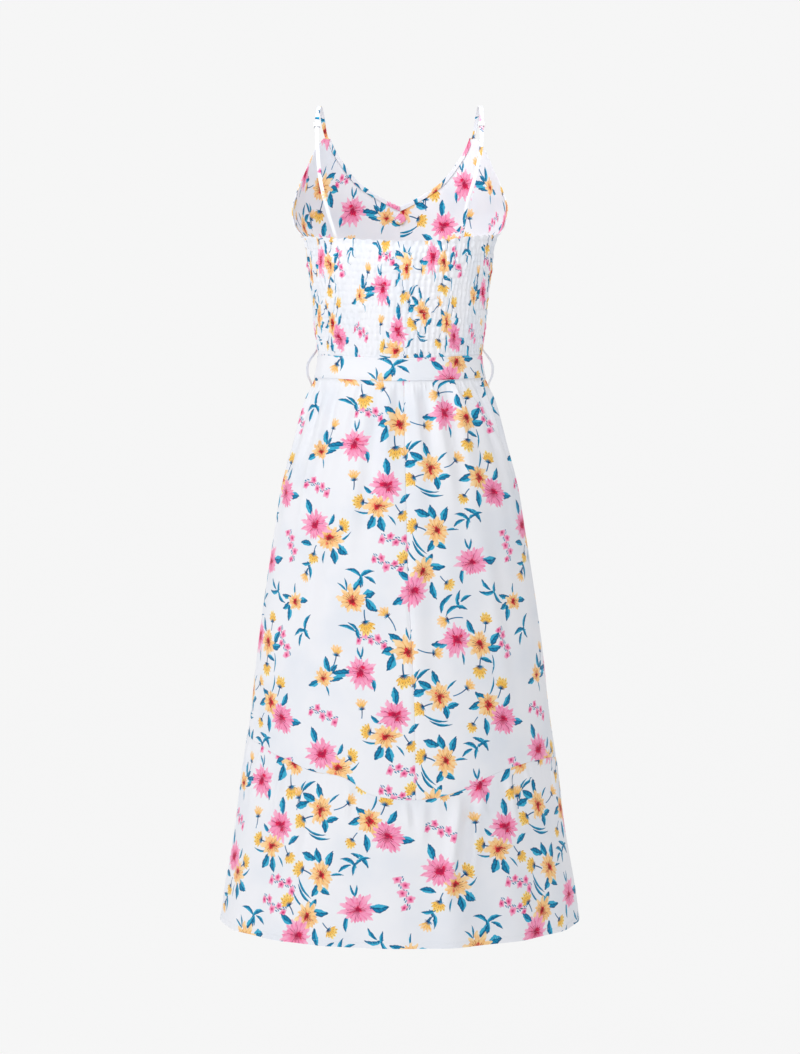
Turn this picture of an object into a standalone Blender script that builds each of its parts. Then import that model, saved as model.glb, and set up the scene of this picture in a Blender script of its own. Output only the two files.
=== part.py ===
"""Asymmetric dress: a strappy midi dress with a V neck, a smocked back, a belt and a slanting flounce.

Metres, +Z up. The origin is midway between the tops of the two shoulder straps, where a wearer's
shoulders hold the dress. The front faces -Y and +X is the wearer's left. The dress hangs filled out,
as on a general figure, and it is hollow: every panel is a thin wall of cloth.
Angles run round the body in degrees: 0 is the left side seam, 90 the centre back, 180 the right
side seam and -90 (or 270) the centre front.
"""

import math

import bmesh
import bpy
from mathutils import Vector

# Cloth, seams and trims
WALL = 0.0014
SEAM_GAP = 0.0003
BINDING_WIDTH = 0.0065
BINDING_WALL = 0.0011
STRAP_WIDTH = 0.0080
STRAP_WALL = 0.0013
STRAP_TUCK = 0.016
BELT_WALL = 0.0013
BELT_LIFT = 0.0006
BELT_OVERLAP = 14.0

# The form of the dress: the outside of the cloth at each height
BODY = (
    # height, half_width, back_depth, front_depth
    (-0.038, 0.1320, 0.084, 0.0980),
    (-0.058, 0.1385, 0.086, 0.1020),
    (-0.089, 0.1460, 0.088, 0.1080),
    (-0.122, 0.1525, 0.090, 0.1140),
    (-0.145, 0.1562, 0.091, 0.1175),
    (-0.160, 0.1548, 0.091, 0.1185),
    (-0.175, 0.1502, 0.091, 0.1175),
    (-0.190, 0.1396, 0.091, 0.1150),
    (-0.208, 0.1334, 0.091, 0.1110),
    (-0.235, 0.1312, 0.091, 0.1060),
    (-0.275, 0.1252, 0.088, 0.0980),
    (-0.320, 0.1216, 0.084, 0.0910),
    (-0.362, 0.1165, 0.081, 0.0870),
    (-0.398, 0.1232, 0.085, 0.0890),
    (-0.437, 0.1350, 0.094, 0.0950),
    (-0.480, 0.1475, 0.104, 0.1030),
    (-0.545, 0.1670, 0.118, 0.1150),
    (-0.610, 0.1786, 0.129, 0.1250),
    (-0.695, 0.1923, 0.141, 0.1370),
    (-0.782, 0.2044, 0.152, 0.1480),
    (-0.868, 0.2135, 0.162, 0.1590),
    (-0.954, 0.2262, 0.173, 0.1710),
    (-1.040, 0.2350, 0.185, 0.1840),
    (-1.126, 0.2484, 0.197, 0.1960),
    (-1.180, 0.2552, 0.204, 0.2030),
)

# Edges of the left front, from the point of the V up to the strap, then down to the side seam
NECKLINE = (
    # from_centre, height
    (0.0000, -0.1305),
    (0.0123, -0.1250),
    (0.0270, -0.1175),
    (0.0418, -0.1095),
    (0.0535, -0.1025),
    (0.0643, -0.0940),
    (0.0725, -0.0853),
    (0.0798, -0.0765),
    (0.0870, -0.0668),
    (0.0930, -0.0585),
    (0.0985, -0.0490),
    (0.1030, -0.0385),
)
ARMHOLE = (
    # angle, height
    (-32.6, -0.0385),
    (-27.5, -0.0520),
    (-24.2, -0.0670),
    (-20.8, -0.0860),
    (-16.0, -0.1040),
    (-11.5, -0.1220),
    (-7.2, -0.1420),
    (-4.2, -0.1600),
    (-1.8, -0.1760),
    (0.0, -0.1880),
)
STRAP_POINT_UNDER = (-47.0, -43.5)
FRONT_ROWS = 11

# The smocked back
HEADER = 0.0075
SMOCK_ROWS = 13
SMOCK_COLUMNS = 40
SMOCK_PUFF = 0.0024
SMOCK_DIP_SHARE = 0.35
HEADER_WAVE = 0.0016
HEADER_FLARE = 0.0012
BACK_TOP = (
    # angle, height
    (0.0, -0.1883),
    (35.0, -0.1960),
    (62.0, -0.2020),
    (90.0, -0.2065),
    (118.0, -0.2030),
    (145.0, -0.1940),
    (180.0, -0.1845),
)

# Waist, belt and belt loops
WAIST = -0.3760
WAIST_DROP = 0.0092
BELT_RISE = 0.0163
BELT_FALL = 0.0157
LOOP_WIDTH = 0.0045
LOOP_WALL = 0.0011
LOOP = (
    # out_from_cloth, height
    (0.0017, -0.3440),
    (0.0019, -0.3500),
    (0.0060, -0.3560),
    (0.0125, -0.3650),
    (0.0150, -0.3750),
    (0.0118, -0.3870),
    (0.0050, -0.3975),
    (0.0021, -0.4035),
    (0.0023, -0.4090),
)

# The skirt: every fourth column is a crest of a gather that starts under the belt
QUARTER_COLUMNS = 24
GATHER_COLUMNS = 4
GATHER_HEIGHT = 0.0034
GATHER_UNEVEN = 0.45
SKIRT_ROWS = (
    # share_of_the_length_below_the_belt, gather_share
    (0.000, 0.00),
    (0.022, 0.40),
    (0.055, 0.95),
    (0.105, 1.00),
    (0.190, 0.74),
    (0.285, 0.46),
    (0.400, 0.28),
    (0.540, 0.14),
    (0.690, 0.06),
    (0.850, 0.00),
    (1.000, 0.00),
)

# The slanting seam between skirt and flounce, and the hem
TIER_SEAM = (
    # angle, height
    (0.0, -0.8985),
    (26.0, -0.9092),
    (37.5, -0.9199),
    (46.0, -0.9263),
    (57.0, -0.9393),
    (70.0, -0.9462),
    (79.0, -0.9668),
    (86.0, -0.9730),
    (95.0, -0.9753),
    (103.5, -0.9718),
    (112.5, -0.9624),
    (124.0, -0.9454),
    (135.5, -0.9352),
    (146.0, -0.9312),
    (160.0, -0.9300),
    (180.0, -0.9330),
    (225.0, -0.9220),
    (270.0, -0.8970),
    (315.0, -0.8820),
    (360.0, -0.8985),
)
HEM = -1.1610
HEM_DROP = 0.0105
FLOUNCE_ROWS = 5
FLOUNCE_FOLDS = (
    # angle, breadth, height, lean
    (8.0, 9.0, 0.0040, 2.0),
    (30.0, 8.0, 0.0052, -3.0),
    (52.0, 7.0, 0.0040, -4.0),
    (67.0, 6.0, 0.0028, -2.0),
    (88.0, 9.0, 0.0022, 1.0),
    (111.0, 6.5, 0.0068, -5.0),
    (127.0, 7.0, 0.0038, 3.0),
    (148.0, 8.0, 0.0046, 4.0),
    (172.0, 9.0, 0.0038, -2.0),
    (197.0, 8.0, 0.0048, 3.0),
    (219.0, 7.5, 0.0056, -2.0),
    (243.0, 9.0, 0.0042, 4.0),
    (268.0, 8.0, 0.0058, -3.0),
    (292.0, 9.0, 0.0044, 2.0),
    (315.0, 7.5, 0.0054, -3.0),
    (338.0, 8.0, 0.0042, 3.0),
)

# Straps, from behind the strap point over the shoulder to the back; turn is the way the width lies
STRAP_LEFT = (
    # x, y, z, turn
    (0.1102, -0.0490, -0.0250, 40.0),
    (0.1130, -0.0290, -0.0075, 20.0),
    (0.1148, -0.0080, -0.0008, 5.0),
    (0.1168, 0.0090, -0.0075, 0.0),
    (0.1184, 0.0225, -0.0330, 0.0),
    (0.1166, 0.0420, -0.0731, -4.0),
    (0.1116, 0.0550, -0.1194, -12.0),
    (0.1011, 0.0615, -0.1620, -24.0),
)
STRAP_RIGHT = (
    # x, y, z, turn
    (-0.1098, -0.0490, -0.0250, -40.0),
    (-0.1124, -0.0290, -0.0075, -20.0),
    (-0.1142, -0.0080, -0.0008, -5.0),
    (-0.1166, 0.0090, -0.0070, 0.0),
    (-0.1162, 0.0220, -0.0320, 0.0),
    (-0.1150, 0.0405, -0.0674, 4.0),
    (-0.1060, 0.0535, -0.1110, 12.0),
    (-0.0956, 0.0620, -0.1480, 24.0),
)
STRAP_FOOT = {"left": 47.6, "right": 129.6}
STRAP_STEPS = 3
DOUBLED_FROM_ROW = 4
SLIDER_ROW = 4
SLIDER_BAR = 0.0013
SLIDER_HEIGHT = 0.0062
SLIDER_CLEARANCE = 0.0004

# The covered button on the inside of the front
BUTTON_HEIGHT = -0.1475
BUTTON_RADIUS = 0.0082
BUTTON_THICKNESS = 0.0034
BUTTON_SEAT = 0.0008
BUTTON_SIDES = 20

CLOTH_COLOUR = (0.88, 0.90, 0.93)
PRINT_COLOUR = (0.86, 0.55, 0.60)
PLASTIC_COLOUR = (0.93, 0.93, 0.94)


def clear_scene():
    for item in list(bpy.data.objects):
        bpy.data.objects.remove(item, do_unlink=True)


def material(name, colour, roughness):
    made = bpy.data.materials.new(name)
    made.use_nodes = True
    shader = made.node_tree.nodes["Principled BSDF"]
    shader.inputs["Base Color"].default_value = (*colour, 1.0)
    shader.inputs["Roughness"].default_value = roughness
    shader.inputs["Metallic"].default_value = 0.0
    return made


def smooth_read(table, at, column=1):
    """Reads a column of a table at a place in its first column, on a smooth curve through the rows."""
    keys = [row[0] for row in table]
    values = [row[column] for row in table]
    if keys[0] > keys[-1]:
        keys.reverse()
        values.reverse()
    last = len(keys) - 1
    at = min(max(at, keys[0]), keys[-1])
    i = max(k for k in range(last) if keys[k] <= at)

    def slope(k):
        low = max(k - 1, 0)
        high = min(k + 1, last)
        return (values[high] - values[low]) / (keys[high] - keys[low])

    span = keys[i + 1] - keys[i]
    t = (at - keys[i]) / span
    rise = t * t * (3 - 2 * t)
    start = t * (1 - t) ** 2 * span * slope(i)
    end = t * t * (t - 1) * span * slope(i + 1)
    return values[i] + rise * (values[i + 1] - values[i]) + start + end


def smooth_step(share):
    share = min(max(share, 0.0), 1.0)
    return share * share * (3 - 2 * share)


def outward(angle, height):
    """The level direction that points straight out of the cloth."""
    turn = math.radians(angle)
    wide = smooth_read(BODY, height, 1)
    deep = smooth_read(BODY, height, 2 if math.sin(turn) > 0 else 3)
    return Vector((math.cos(turn) / wide, math.sin(turn) / deep, 0.0)).normalized()


def body(angle, height, lift=0.0):
    """A point on the outside of the cloth, moved out by lift."""
    turn = math.radians(angle)
    wide = smooth_read(BODY, height, 1)
    deep = smooth_read(BODY, height, 2 if math.sin(turn) > 0 else 3)
    point = Vector((wide * math.cos(turn), deep * math.sin(turn), height))
    return point + outward(angle, height) * lift


def waist_height(angle):
    return WAIST - WAIST_DROP * max(0.0, math.sin(math.radians(angle))) ** 2


def add_object(name, verts, faces, look):
    """Makes a closed body from its points and faces, with its faces turned outwards."""
    mesh = bpy.data.meshes.new(name)
    mesh.from_pydata([tuple(v) for v in verts], [], faces)
    made = bmesh.new()
    made.from_mesh(mesh)
    bmesh.ops.recalc_face_normals(made, faces=made.faces)
    made.to_mesh(mesh)
    made.free()
    mesh.shade_smooth()
    mesh.set_sharp_from_angle(angle=math.radians(50))
    mesh.materials.append(look)
    piece = bpy.data.objects.new(name, mesh)
    bpy.context.collection.objects.link(piece)
    return piece


def cloth_wall(name, outer, inner, look):
    """A panel of cloth: an outer and an inner grid of points, joined round their edges.

    Both grids have the same columns. The inner grid may have fewer rows, each level with one of the
    outer rows, and the side edges then join several outer points to one inner step.
    """
    columns = len(outer[0])
    verts = [p for row in outer for p in row] + [p for row in inner for p in row]
    start = len(outer) * columns
    step = (len(outer) - 1) // (len(inner) - 1)

    def out(r, c):
        return r * columns + c

    def into(r, c):
        return start + r * columns + c

    faces = []
    for r in range(len(outer) - 1):
        for c in range(columns - 1):
            faces.append((out(r, c), out(r, c + 1), out(r + 1, c + 1), out(r + 1, c)))
    for r in range(len(inner) - 1):
        for c in range(columns - 1):
            faces.append((into(r, c), into(r + 1, c), into(r + 1, c + 1), into(r, c + 1)))
    for c in range(columns - 1):
        faces.append((out(0, c), into(0, c), into(0, c + 1), out(0, c + 1)))
        low_out, low_in = len(outer) - 1, len(inner) - 1
        faces.append((out(low_out, c), out(low_out, c + 1), into(low_in, c + 1), into(low_in, c)))
    for r in range(len(inner) - 1):
        for c in (0, columns - 1):
            side = [out(r * step + k, c) for k in range(step + 1)]
            faces.append((*side, into(r + 1, c), into(r, c)))
    return add_object(name, verts, faces, look)


def swept(name, rings, look):
    """A closed body through rings of the same number of points, with flat ends."""
    sides = len(rings[0])
    verts = [p for ring in rings for p in ring]
    faces = [tuple(range(sides)), tuple(range(len(verts) - sides, len(verts)))]
    for r in range(len(rings) - 1):
        for k in range(sides):
            after = (k + 1) % sides
            low = r * sides
            high = low + sides
            faces.append((low + k, low + after, high + after, high + k))
    return add_object(name, verts, faces, look)


def mirrored(grid):
    return [[Vector((-p.x, p.y, p.z)) for p in row] for row in grid]


def front_grids(side_height):
    """The outer and inner points of the left front, from the centre to the side seam.

    The top edge follows the neckline, the strap point and the armhole; the bottom edge is the waist.
    """
    top = []
    for from_centre, height in NECKLINE:
        wide = smooth_read(BODY, height, 1)
        top.append((-math.degrees(math.acos(min(1.0, from_centre / wide))), height))
    neck_columns = len(top)
    top += list(ARMHOLE[:-1]) + [(ARMHOLE[-1][0], side_height)]
    last_neck, last = neck_columns - 1, len(top) - 1
    outer, inner = [], []
    for r in range(FRONT_ROWS + 1):
        down = r / FRONT_ROWS
        row_out, row_in = [], []
        for c, (angle, height) in enumerate(top):
            if c <= last_neck:
                under = -90.0 + (STRAP_POINT_UNDER[0] + 90.0) * c / last_neck
            else:
                along = (c - neck_columns) / (last - neck_columns)
                under = STRAP_POINT_UNDER[1] * (1.0 - along)
            at = angle + (under - angle) * smooth_step(down)
            if r < FRONT_ROWS - 1:
                z = height + (WAIST + BELT_RISE - height) * r / (FRONT_ROWS - 2)
            else:
                z = WAIST + BELT_RISE * (FRONT_ROWS - r) / 2
            lean = outward(at, z)
            point = body(at, z)
            if c == 0:
                lean = Vector((0.0, -1.0, 0.0))
                point.x += SEAM_GAP / 2
            if c == last:
                point.y -= SEAM_GAP / 2
            row_out.append(point)
            row_in.append(point - lean * WALL)
        outer.append(row_out)
        inner.append(row_in)
    return outer, inner, neck_columns


def walk_down(grid, column, distance):
    """The point at a distance down a column of a grid from its top edge, or above it if negative."""
    here, below = grid[0][column], grid[1][column]
    if distance <= 0:
        return here + (here - below).normalized() * -distance
    for row in range(1, len(grid)):
        below = grid[row][column]
        length = (below - here).length
        if distance <= length:
            return here + (below - here) * (distance / length)
        distance -= length
        here = below
    return here


def neck_binding(name, outer, inner, neck_columns, look):
    """A strip folded over the neck edge, made from the front's own points moved off it."""
    rings = []
    for c in range(neck_columns):
        before, after = max(c - 1, 0), min(c + 1, neck_columns - 1)
        edge = (outer[0][after] - outer[0][before]).normalized()
        down = (outer[1][c] - outer[0][c]).normalized()
        slant = edge.cross(down).length
        lean = (outer[0][c] - inner[0][c]).normalized()
        low = BINDING_WIDTH / slant
        top = -(SEAM_GAP + BINDING_WALL) / slant
        under = -SEAM_GAP / slant
        near, far = SEAM_GAP, SEAM_GAP + BINDING_WALL
        rings.append(
            [
                walk_down(outer, c, low) + lean * near,
                walk_down(outer, c, low) + lean * far,
                walk_down(outer, c, top) + lean * far,
                walk_down(inner, c, top) - lean * far,
                walk_down(inner, c, low) - lean * far,
                walk_down(inner, c, low) - lean * near,
                walk_down(inner, c, under) - lean * near,
                walk_down(outer, c, under) + lean * near,
            ]
        )
    return swept(name, rings, look)


def smocked_back(look):
    """The back: rows of puffs between elastic threads, under a frilled header. Its inside is plain."""
    outer_rows = 2 + 2 * SMOCK_ROWS + 2
    outer, inner = [], []
    for r in range(outer_rows + 1):
        row = []
        for c in range(SMOCK_COLUMNS + 1):
            angle = 180.0 * c / SMOCK_COLUMNS
            top = smooth_read(BACK_TOP, angle)
            waist = waist_height(angle)
            belt_top = waist + BELT_RISE
            sewn = 0.0 if c in (0, SMOCK_COLUMNS) else 1.0
            crest = 1.0 if c % 2 else SMOCK_DIP_SHARE
            if r <= 2:
                z = top - HEADER * r / 2
                wave = HEADER_WAVE * (1.0 if c % 2 else -0.4) + HEADER_FLARE
                lift = sewn * wave * (1.0 - r / 2)
            elif r < outer_rows - 1:
                steps = 2 * SMOCK_ROWS
                share = (r - 2) / steps
                z = top - HEADER + (belt_top + 0.002 - top + HEADER) * share
                puff = SMOCK_PUFF * crest if r % 2 else 0.0
                lift = sewn * puff * smooth_step((1.0 - share) * 8)
            else:
                z = waist if r == outer_rows else (waist + belt_top) / 2
                lift = 0.0
            point = body(angle, z, lift)
            if c in (0, SMOCK_COLUMNS):
                point.y += SEAM_GAP / 2
            row.append((point, point - outward(angle, z) * (WALL + (lift if r > 2 else 0.0))))
        outer.append([pair[0] for pair in row])
        if r % 2 == 0:
            inner.append([pair[1] for pair in row])
    return cloth_wall("back_bodice", outer, inner, look)


def gather_lift(column, share):
    """How far a gather stands out: a crest every few columns, each of its own height."""
    crest = math.sin(math.pi * column / GATHER_COLUMNS) ** 2
    number = column // GATHER_COLUMNS
    own = 1.0 + GATHER_UNEVEN * math.sin(2.4 * number + 1.1)
    return GATHER_HEIGHT * own * crest * share


def skirt_panel(name, first, last, look):
    """One panel of the skirt, from the waist to the slanting seam, between two columns."""
    outer, inner = [], []
    for share, gathered in ((None, 0.0), *SKIRT_ROWS):
        row_out, row_in = [], []
        for c in range(first, last + 1):
            angle = 90.0 * c / QUARTER_COLUMNS
            waist = waist_height(angle)
            top = waist - BELT_FALL
            low = smooth_read(TIER_SEAM, angle) + SEAM_GAP / 2
            z = waist - SEAM_GAP if share is None else top + (low - top) * share
            lean = outward(angle, z)
            point = body(angle, z, gather_lift(c, gathered))
            if c in (first, last):
                towards = 1.0 if c == first else -1.0
                point += Vector((-lean.y, lean.x, 0.0)) * towards * SEAM_GAP / 2
            row_out.append(point)
            row_in.append(point - lean * WALL)
        outer.append(row_out)
        inner.append(row_in)
    return cloth_wall(name, outer, inner, look)


def fold_lift(angle, share):
    """How far the flounce's folds stand out, none at the seam and all at the hem."""
    lift = 0.0
    for at, breadth, height, lean in FLOUNCE_FOLDS:
        away = (angle - at - lean * share + 180.0) % 360.0 - 180.0
        lift += height * math.exp(-((away / breadth) ** 2))
    return lift * smooth_step(share * 1.15)


def flounce_panel(name, first, last, look):
    """One panel of the flounce, from the slanting seam to the hem."""
    outer, inner = [], []
    for r in range(FLOUNCE_ROWS + 1):
        share = r / FLOUNCE_ROWS
        row_out, row_in = [], []
        for c in range(first, last + 1):
            angle = 90.0 * c / QUARTER_COLUMNS
            top = smooth_read(TIER_SEAM, angle) - SEAM_GAP / 2
            low = HEM - HEM_DROP * max(0.0, math.sin(math.radians(angle)))
            z = top + (low - top) * share
            lean = outward(angle, z)
            point = body(angle, z, fold_lift(angle, share))
            if c in (first, last):
                towards = 1.0 if c == first else -1.0
                point += Vector((-lean.y, lean.x, 0.0)) * towards * SEAM_GAP / 2
            row_out.append(point)
            row_in.append(point - lean * WALL)
        outer.append(row_out)
        inner.append(row_in)
    return cloth_wall(name, outer, inner, look)


def belt(look):
    """A flat belt over the waist seam. Its ends lie over each other at the hidden centre front."""
    steps = 76
    turn = 360.0 + 2 * BELT_OVERLAP
    rings = []
    for k in range(steps + 1):
        angle = -90.0 - BELT_OVERLAP + turn * k / steps
        over = smooth_step((angle - 235.0) / 18.0)
        lift = BELT_LIFT + (BELT_WALL + SEAM_GAP) * over
        waist = waist_height(angle)
        heights = (waist + BELT_RISE, waist, waist - BELT_FALL)
        ring = [body(angle, z, lift) for z in heights]
        ring += [body(angle, z, lift + BELT_WALL) for z in reversed(heights)]
        rings.append(ring)
    return swept("belt", rings, look)


def curve_points(points, steps):
    """Points on a smooth curve through the given ones, with a few steps between each two."""
    made = []
    last = len(points) - 1
    for i in range(last):
        before = points[max(i - 1, 0)]
        after = points[min(i + 2, last)]
        start, end = points[i], points[i + 1]
        for k in range(steps):
            t = k / steps
            rise = t * t * (3 - 2 * t)
            out = (end - before) * 0.5 * t * (1 - t) ** 2
            back = (after - start) * 0.5 * t * t * (t - 1)
            made.append(start + (end - start) * rise + out + back)
    made.append(points[last])
    return made


def strap(side, rows, strap_point, look):
    """A strap from the front's strap point over the shoulder to the inside of the back."""
    foot = STRAP_FOOT[side]
    top = smooth_read(BACK_TOP, foot)
    tuck_in = -(WALL + 0.0006 + STRAP_WALL)
    places = [sum(strap_point, Vector()) / 4 + Vector((0.0, 0.0, SEAM_GAP))]
    turns = [(48.0 if side == "left" else -48.0)]
    for x, y, z, turn in rows:
        places.append(Vector((x, y, z)))
        turns.append(turn)
    for above in (0.008, -0.003, -STRAP_TUCK):
        facing = outward(foot, top + above)
        places.append(body(foot, top + above, tuck_in))
        turns.append(math.degrees(math.atan2(facing.y, facing.x)) - 90.0)
    path = curve_points(places, STRAP_STEPS)
    lies = curve_points([Vector((t, 0.0, 0.0)) for t in turns], STRAP_STEPS)
    rings = [[p + Vector((0.0, 0.0, SEAM_GAP)) for p in strap_point]]
    doubled_from = (DOUBLED_FROM_ROW + 1) * STRAP_STEPS
    frames = []
    for k in range(1, len(path)):
        ahead = path[min(k + 1, len(path) - 1)]
        along = (ahead - path[k - 1]).normalized()
        turn = math.radians(lies[k].x)
        across = Vector((math.cos(turn), math.sin(turn), 0.0))
        across = (across - along * across.dot(along)).normalized()
        out = across.cross(along)
        if out.z < 0 and k < doubled_from or k >= doubled_from and out.y < 0:
            out = -out
        thick = STRAP_WALL * (2.0 if k > doubled_from else 1.0)
        if side == "right":
            across = -across if across.x > 0 else across
        half = across * STRAP_WIDTH / 2
        rings.append(
            [
                path[k] - half + out * thick / 2,
                path[k] + half + out * thick / 2,
                path[k] + half - out * thick / 2,
                path[k] - half - out * thick / 2,
            ]
        )
        frames.append((path[k], along, across, out))
    swept("strap_" + side, rings, look)
    return frames[(SLIDER_ROW + 1) * STRAP_STEPS - 1]


def strap_slider(side, frame, look):
    """A plastic ring that the strap runs through."""
    place, along, across, out = frame
    half_width = STRAP_WIDTH / 2 + SLIDER_CLEARANCE
    half_depth = STRAP_WALL + SLIDER_CLEARANCE
    corners = ((-1, -1), (1, -1), (1, 1), (-1, 1))
    verts = []
    for end in (-0.5, 0.5):
        for extra in (0.0, SLIDER_BAR):
            for a, b in corners:
                verts.append(
                    place
                    + along * SLIDER_HEIGHT * end
                    + across * (half_width + extra) * a
                    + out * (half_depth + extra) * b
                )
    faces = []
    for k in range(4):
        after = (k + 1) % 4
        faces.append((k, after, 4 + after, 4 + k))
        faces.append((8 + k, 12 + k, 12 + after, 8 + after))
        faces.append((k, 8 + k, 8 + after, after))
        faces.append((4 + k, 4 + after, 12 + after, 12 + k))
    add_object("strap_slider_" + side, verts, faces, look)


def belt_loop(side, look):
    """A narrow loop at the side seam that holds the belt. It stands off the belt."""
    facing = 1.0 if side == "left" else -1.0
    points = []
    for out, height in LOOP:
        wide = smooth_read(BODY, height, 1)
        points.append(Vector(((wide + out) * facing, 0.0, height)))
    path = curve_points(points, 2)
    rings = []
    for k, place in enumerate(path):
        ahead = path[min(k + 1, len(path) - 1)]
        behind = path[max(k - 1, 0)]
        along = (ahead - behind).normalized()
        across = Vector((0.0, LOOP_WIDTH / 2, 0.0))
        out = along.cross(Vector((0.0, 1.0, 0.0))) * LOOP_WALL / 2
        rings.append([place - across + out, place + across + out, place + across - out, place - across - out])
    swept("belt_loop_" + side, rings, look)


def neck_button(look):
    """A domed covered button on the inside of the front, just under the point of the V."""
    seat = body(-90.0, BUTTON_HEIGHT, -(WALL + BUTTON_SEAT))
    slope = body(-90.0, BUTTON_HEIGHT - 0.01) - body(-90.0, BUTTON_HEIGHT + 0.01)
    up = -slope.normalized()
    inwards = Vector((1.0, 0.0, 0.0)).cross(-up).normalized()
    if inwards.y < 0:
        inwards = -inwards
    profile = ((0.80, 0.0), (0.97, 0.14), (1.0, 0.38), (0.93, 0.68), (0.70, 0.90), (0.36, 1.0))
    rings = []
    for radius_share, depth_share in profile:
        ring = []
        for k in range(BUTTON_SIDES):
            turn = 2 * math.pi * k / BUTTON_SIDES
            spoke = Vector((1.0, 0.0, 0.0)) * math.cos(turn) + up * math.sin(turn)
            depth = inwards * BUTTON_THICKNESS * depth_share
            ring.append(seat + spoke * BUTTON_RADIUS * radius_share + depth)
        rings.append(ring)
    swept("neck_button", rings, look)


def main():
    clear_scene()
    for side, side_height in (("left", BACK_TOP[0][1]), ("right", BACK_TOP[-1][1])):
        outer, inner, neck_columns = front_grids(side_height)
        if side == "right":
            outer, inner = mirrored(outer), mirrored(inner)
        cloth = material("front_bodice_" + side, CLOTH_COLOUR, 0.75)
        cloth_wall("front_bodice_" + side, outer, inner, cloth)
        bound = material("neck_binding_" + side, PRINT_COLOUR, 0.75)
        neck_binding("neck_binding_" + side, outer, inner, neck_columns, bound)
        a, b = neck_columns - 1, neck_columns
        strap_point = [outer[0][a], outer[0][b], inner[0][b], inner[0][a]]
        rows = STRAP_LEFT if side == "left" else STRAP_RIGHT
        frame = strap(side, rows, strap_point, material("strap_" + side, CLOTH_COLOUR, 0.75))
        strap_slider(side, frame, material("strap_slider_" + side, PLASTIC_COLOUR, 0.35))
        belt_loop(side, material("belt_loop_" + side, CLOTH_COLOUR, 0.75))
    neck_button(material("neck_button", PRINT_COLOUR, 0.55))
    smocked_back(material("back_bodice", CLOTH_COLOUR, 0.8))
    belt(material("belt", CLOTH_COLOUR, 0.75))
    quarter = QUARTER_COLUMNS
    panels = (("skirt_back_left", 0, 1), ("skirt_back_right", 1, 2), ("skirt_front", 2, 4))
    for name, first, last in panels:
        skirt_panel(name, first * quarter, last * quarter, material(name, CLOTH_COLOUR, 0.75))
    for name, first, last in (("flounce_back", 0, 2), ("flounce_front", 2, 4)):
        flounce_panel(name, first * quarter, last * quarter, material(name, CLOTH_COLOUR, 0.75))


main()
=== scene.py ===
# %% [markdown]
# # A strappy midi dress with a smocked back and a slanting flounce
# The dress is thin printed cloth, seen from behind and filled out as if it were worn. This lesson dresses a
# plain CAD model of it. Each solid panel of cloth is replaced by a fine, thin sheet on the same form, and
# the sheet then gets what cloth has: gathers, soft creases, puckered seams, hems, thread and a print. The
# print is drawn by shader nodes, from a chart of flowers and leaves.

import math

import bmesh
import bpy
import numpy as np
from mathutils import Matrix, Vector


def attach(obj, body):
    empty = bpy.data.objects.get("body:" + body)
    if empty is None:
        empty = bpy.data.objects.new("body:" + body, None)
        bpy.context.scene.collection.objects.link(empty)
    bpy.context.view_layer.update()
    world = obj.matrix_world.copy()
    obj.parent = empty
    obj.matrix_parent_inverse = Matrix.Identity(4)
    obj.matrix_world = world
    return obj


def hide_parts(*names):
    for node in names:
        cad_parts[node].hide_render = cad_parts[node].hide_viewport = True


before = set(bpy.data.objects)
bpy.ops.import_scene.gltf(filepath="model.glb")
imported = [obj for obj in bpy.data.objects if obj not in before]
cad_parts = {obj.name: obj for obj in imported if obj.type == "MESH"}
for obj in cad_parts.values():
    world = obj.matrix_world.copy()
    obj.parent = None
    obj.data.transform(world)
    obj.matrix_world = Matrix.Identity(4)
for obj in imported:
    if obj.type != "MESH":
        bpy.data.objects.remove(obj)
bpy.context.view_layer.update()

# %% [markdown]
# ## The camera
# The photograph looks level at the middle of the back from about three metres away. A long lens keeps the
# hem and the straps in true proportion. The camera goes first, so that every later step can be looked at.

# %% Add the camera
CAMERA_DISTANCE = 3.2
CAMERA_HEIGHT = -0.605
LENS_MM = 76.2

camera_data = bpy.data.cameras.new("Camera")
camera_data.lens = LENS_MM
camera = bpy.data.objects.new("Camera", camera_data)
camera.location = (0.0, CAMERA_DISTANCE, CAMERA_HEIGHT)
camera.rotation_euler = (math.radians(90), 0.0, math.radians(180))
bpy.context.collection.objects.link(camera)
bpy.context.scene.camera = camera
print("camera stands", CAMERA_DISTANCE, "m behind the dress")

# %% [markdown]
# ## The studio
# A photographer hangs a roll of paper that sweeps from the wall to the floor without a corner, and lights
# it evenly. A plane does it here. Its far edge is extruded upwards, and the fold is bevelled wide.

# %% Add the floor, which curves up into the wall
FLOOR_HEIGHT = -1.42
FLOOR_SIZE = 14.0
FLOOR_MIDDLE = 2.6
WALL_HEIGHT = 7.0
SWEEP_RADIUS = 1.6
PAPER = {
    "Base Color": (0.03, 0.03, 0.03, 1.0),
    "Roughness": 0.9,
    "Specular IOR Level": 0.0,
    "Emission Color": (1.0, 1.0, 1.0, 1.0),
    "Emission Strength": 0.9,
}


def new_material(name, sockets):
    """A material whose shader has these values. Gives the material, its tree and its shader."""
    made = bpy.data.materials.new(name)
    made.use_nodes = True
    shader = made.node_tree.nodes["Principled BSDF"]
    for label, value in sockets.items():
        shader.inputs[label].default_value = value
    return made, made.node_tree, shader


def select_parts(piece, part, test):
    """Selects only the faces or edges that pass a test, in edit mode."""
    bpy.ops.mesh.select_mode(type=part)
    bpy.ops.mesh.select_all(action="DESELECT")
    shape = bmesh.from_edit_mesh(piece.data)
    for item in filter(test, shape.edges if part == "EDGE" else shape.faces):
        item.select_set(True)
    bmesh.update_edit_mesh(piece.data)


def at_far_edge(edge):
    return all(vert.co.y < FLOOR_MIDDLE - FLOOR_SIZE * 0.49 for vert in edge.verts)


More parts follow.
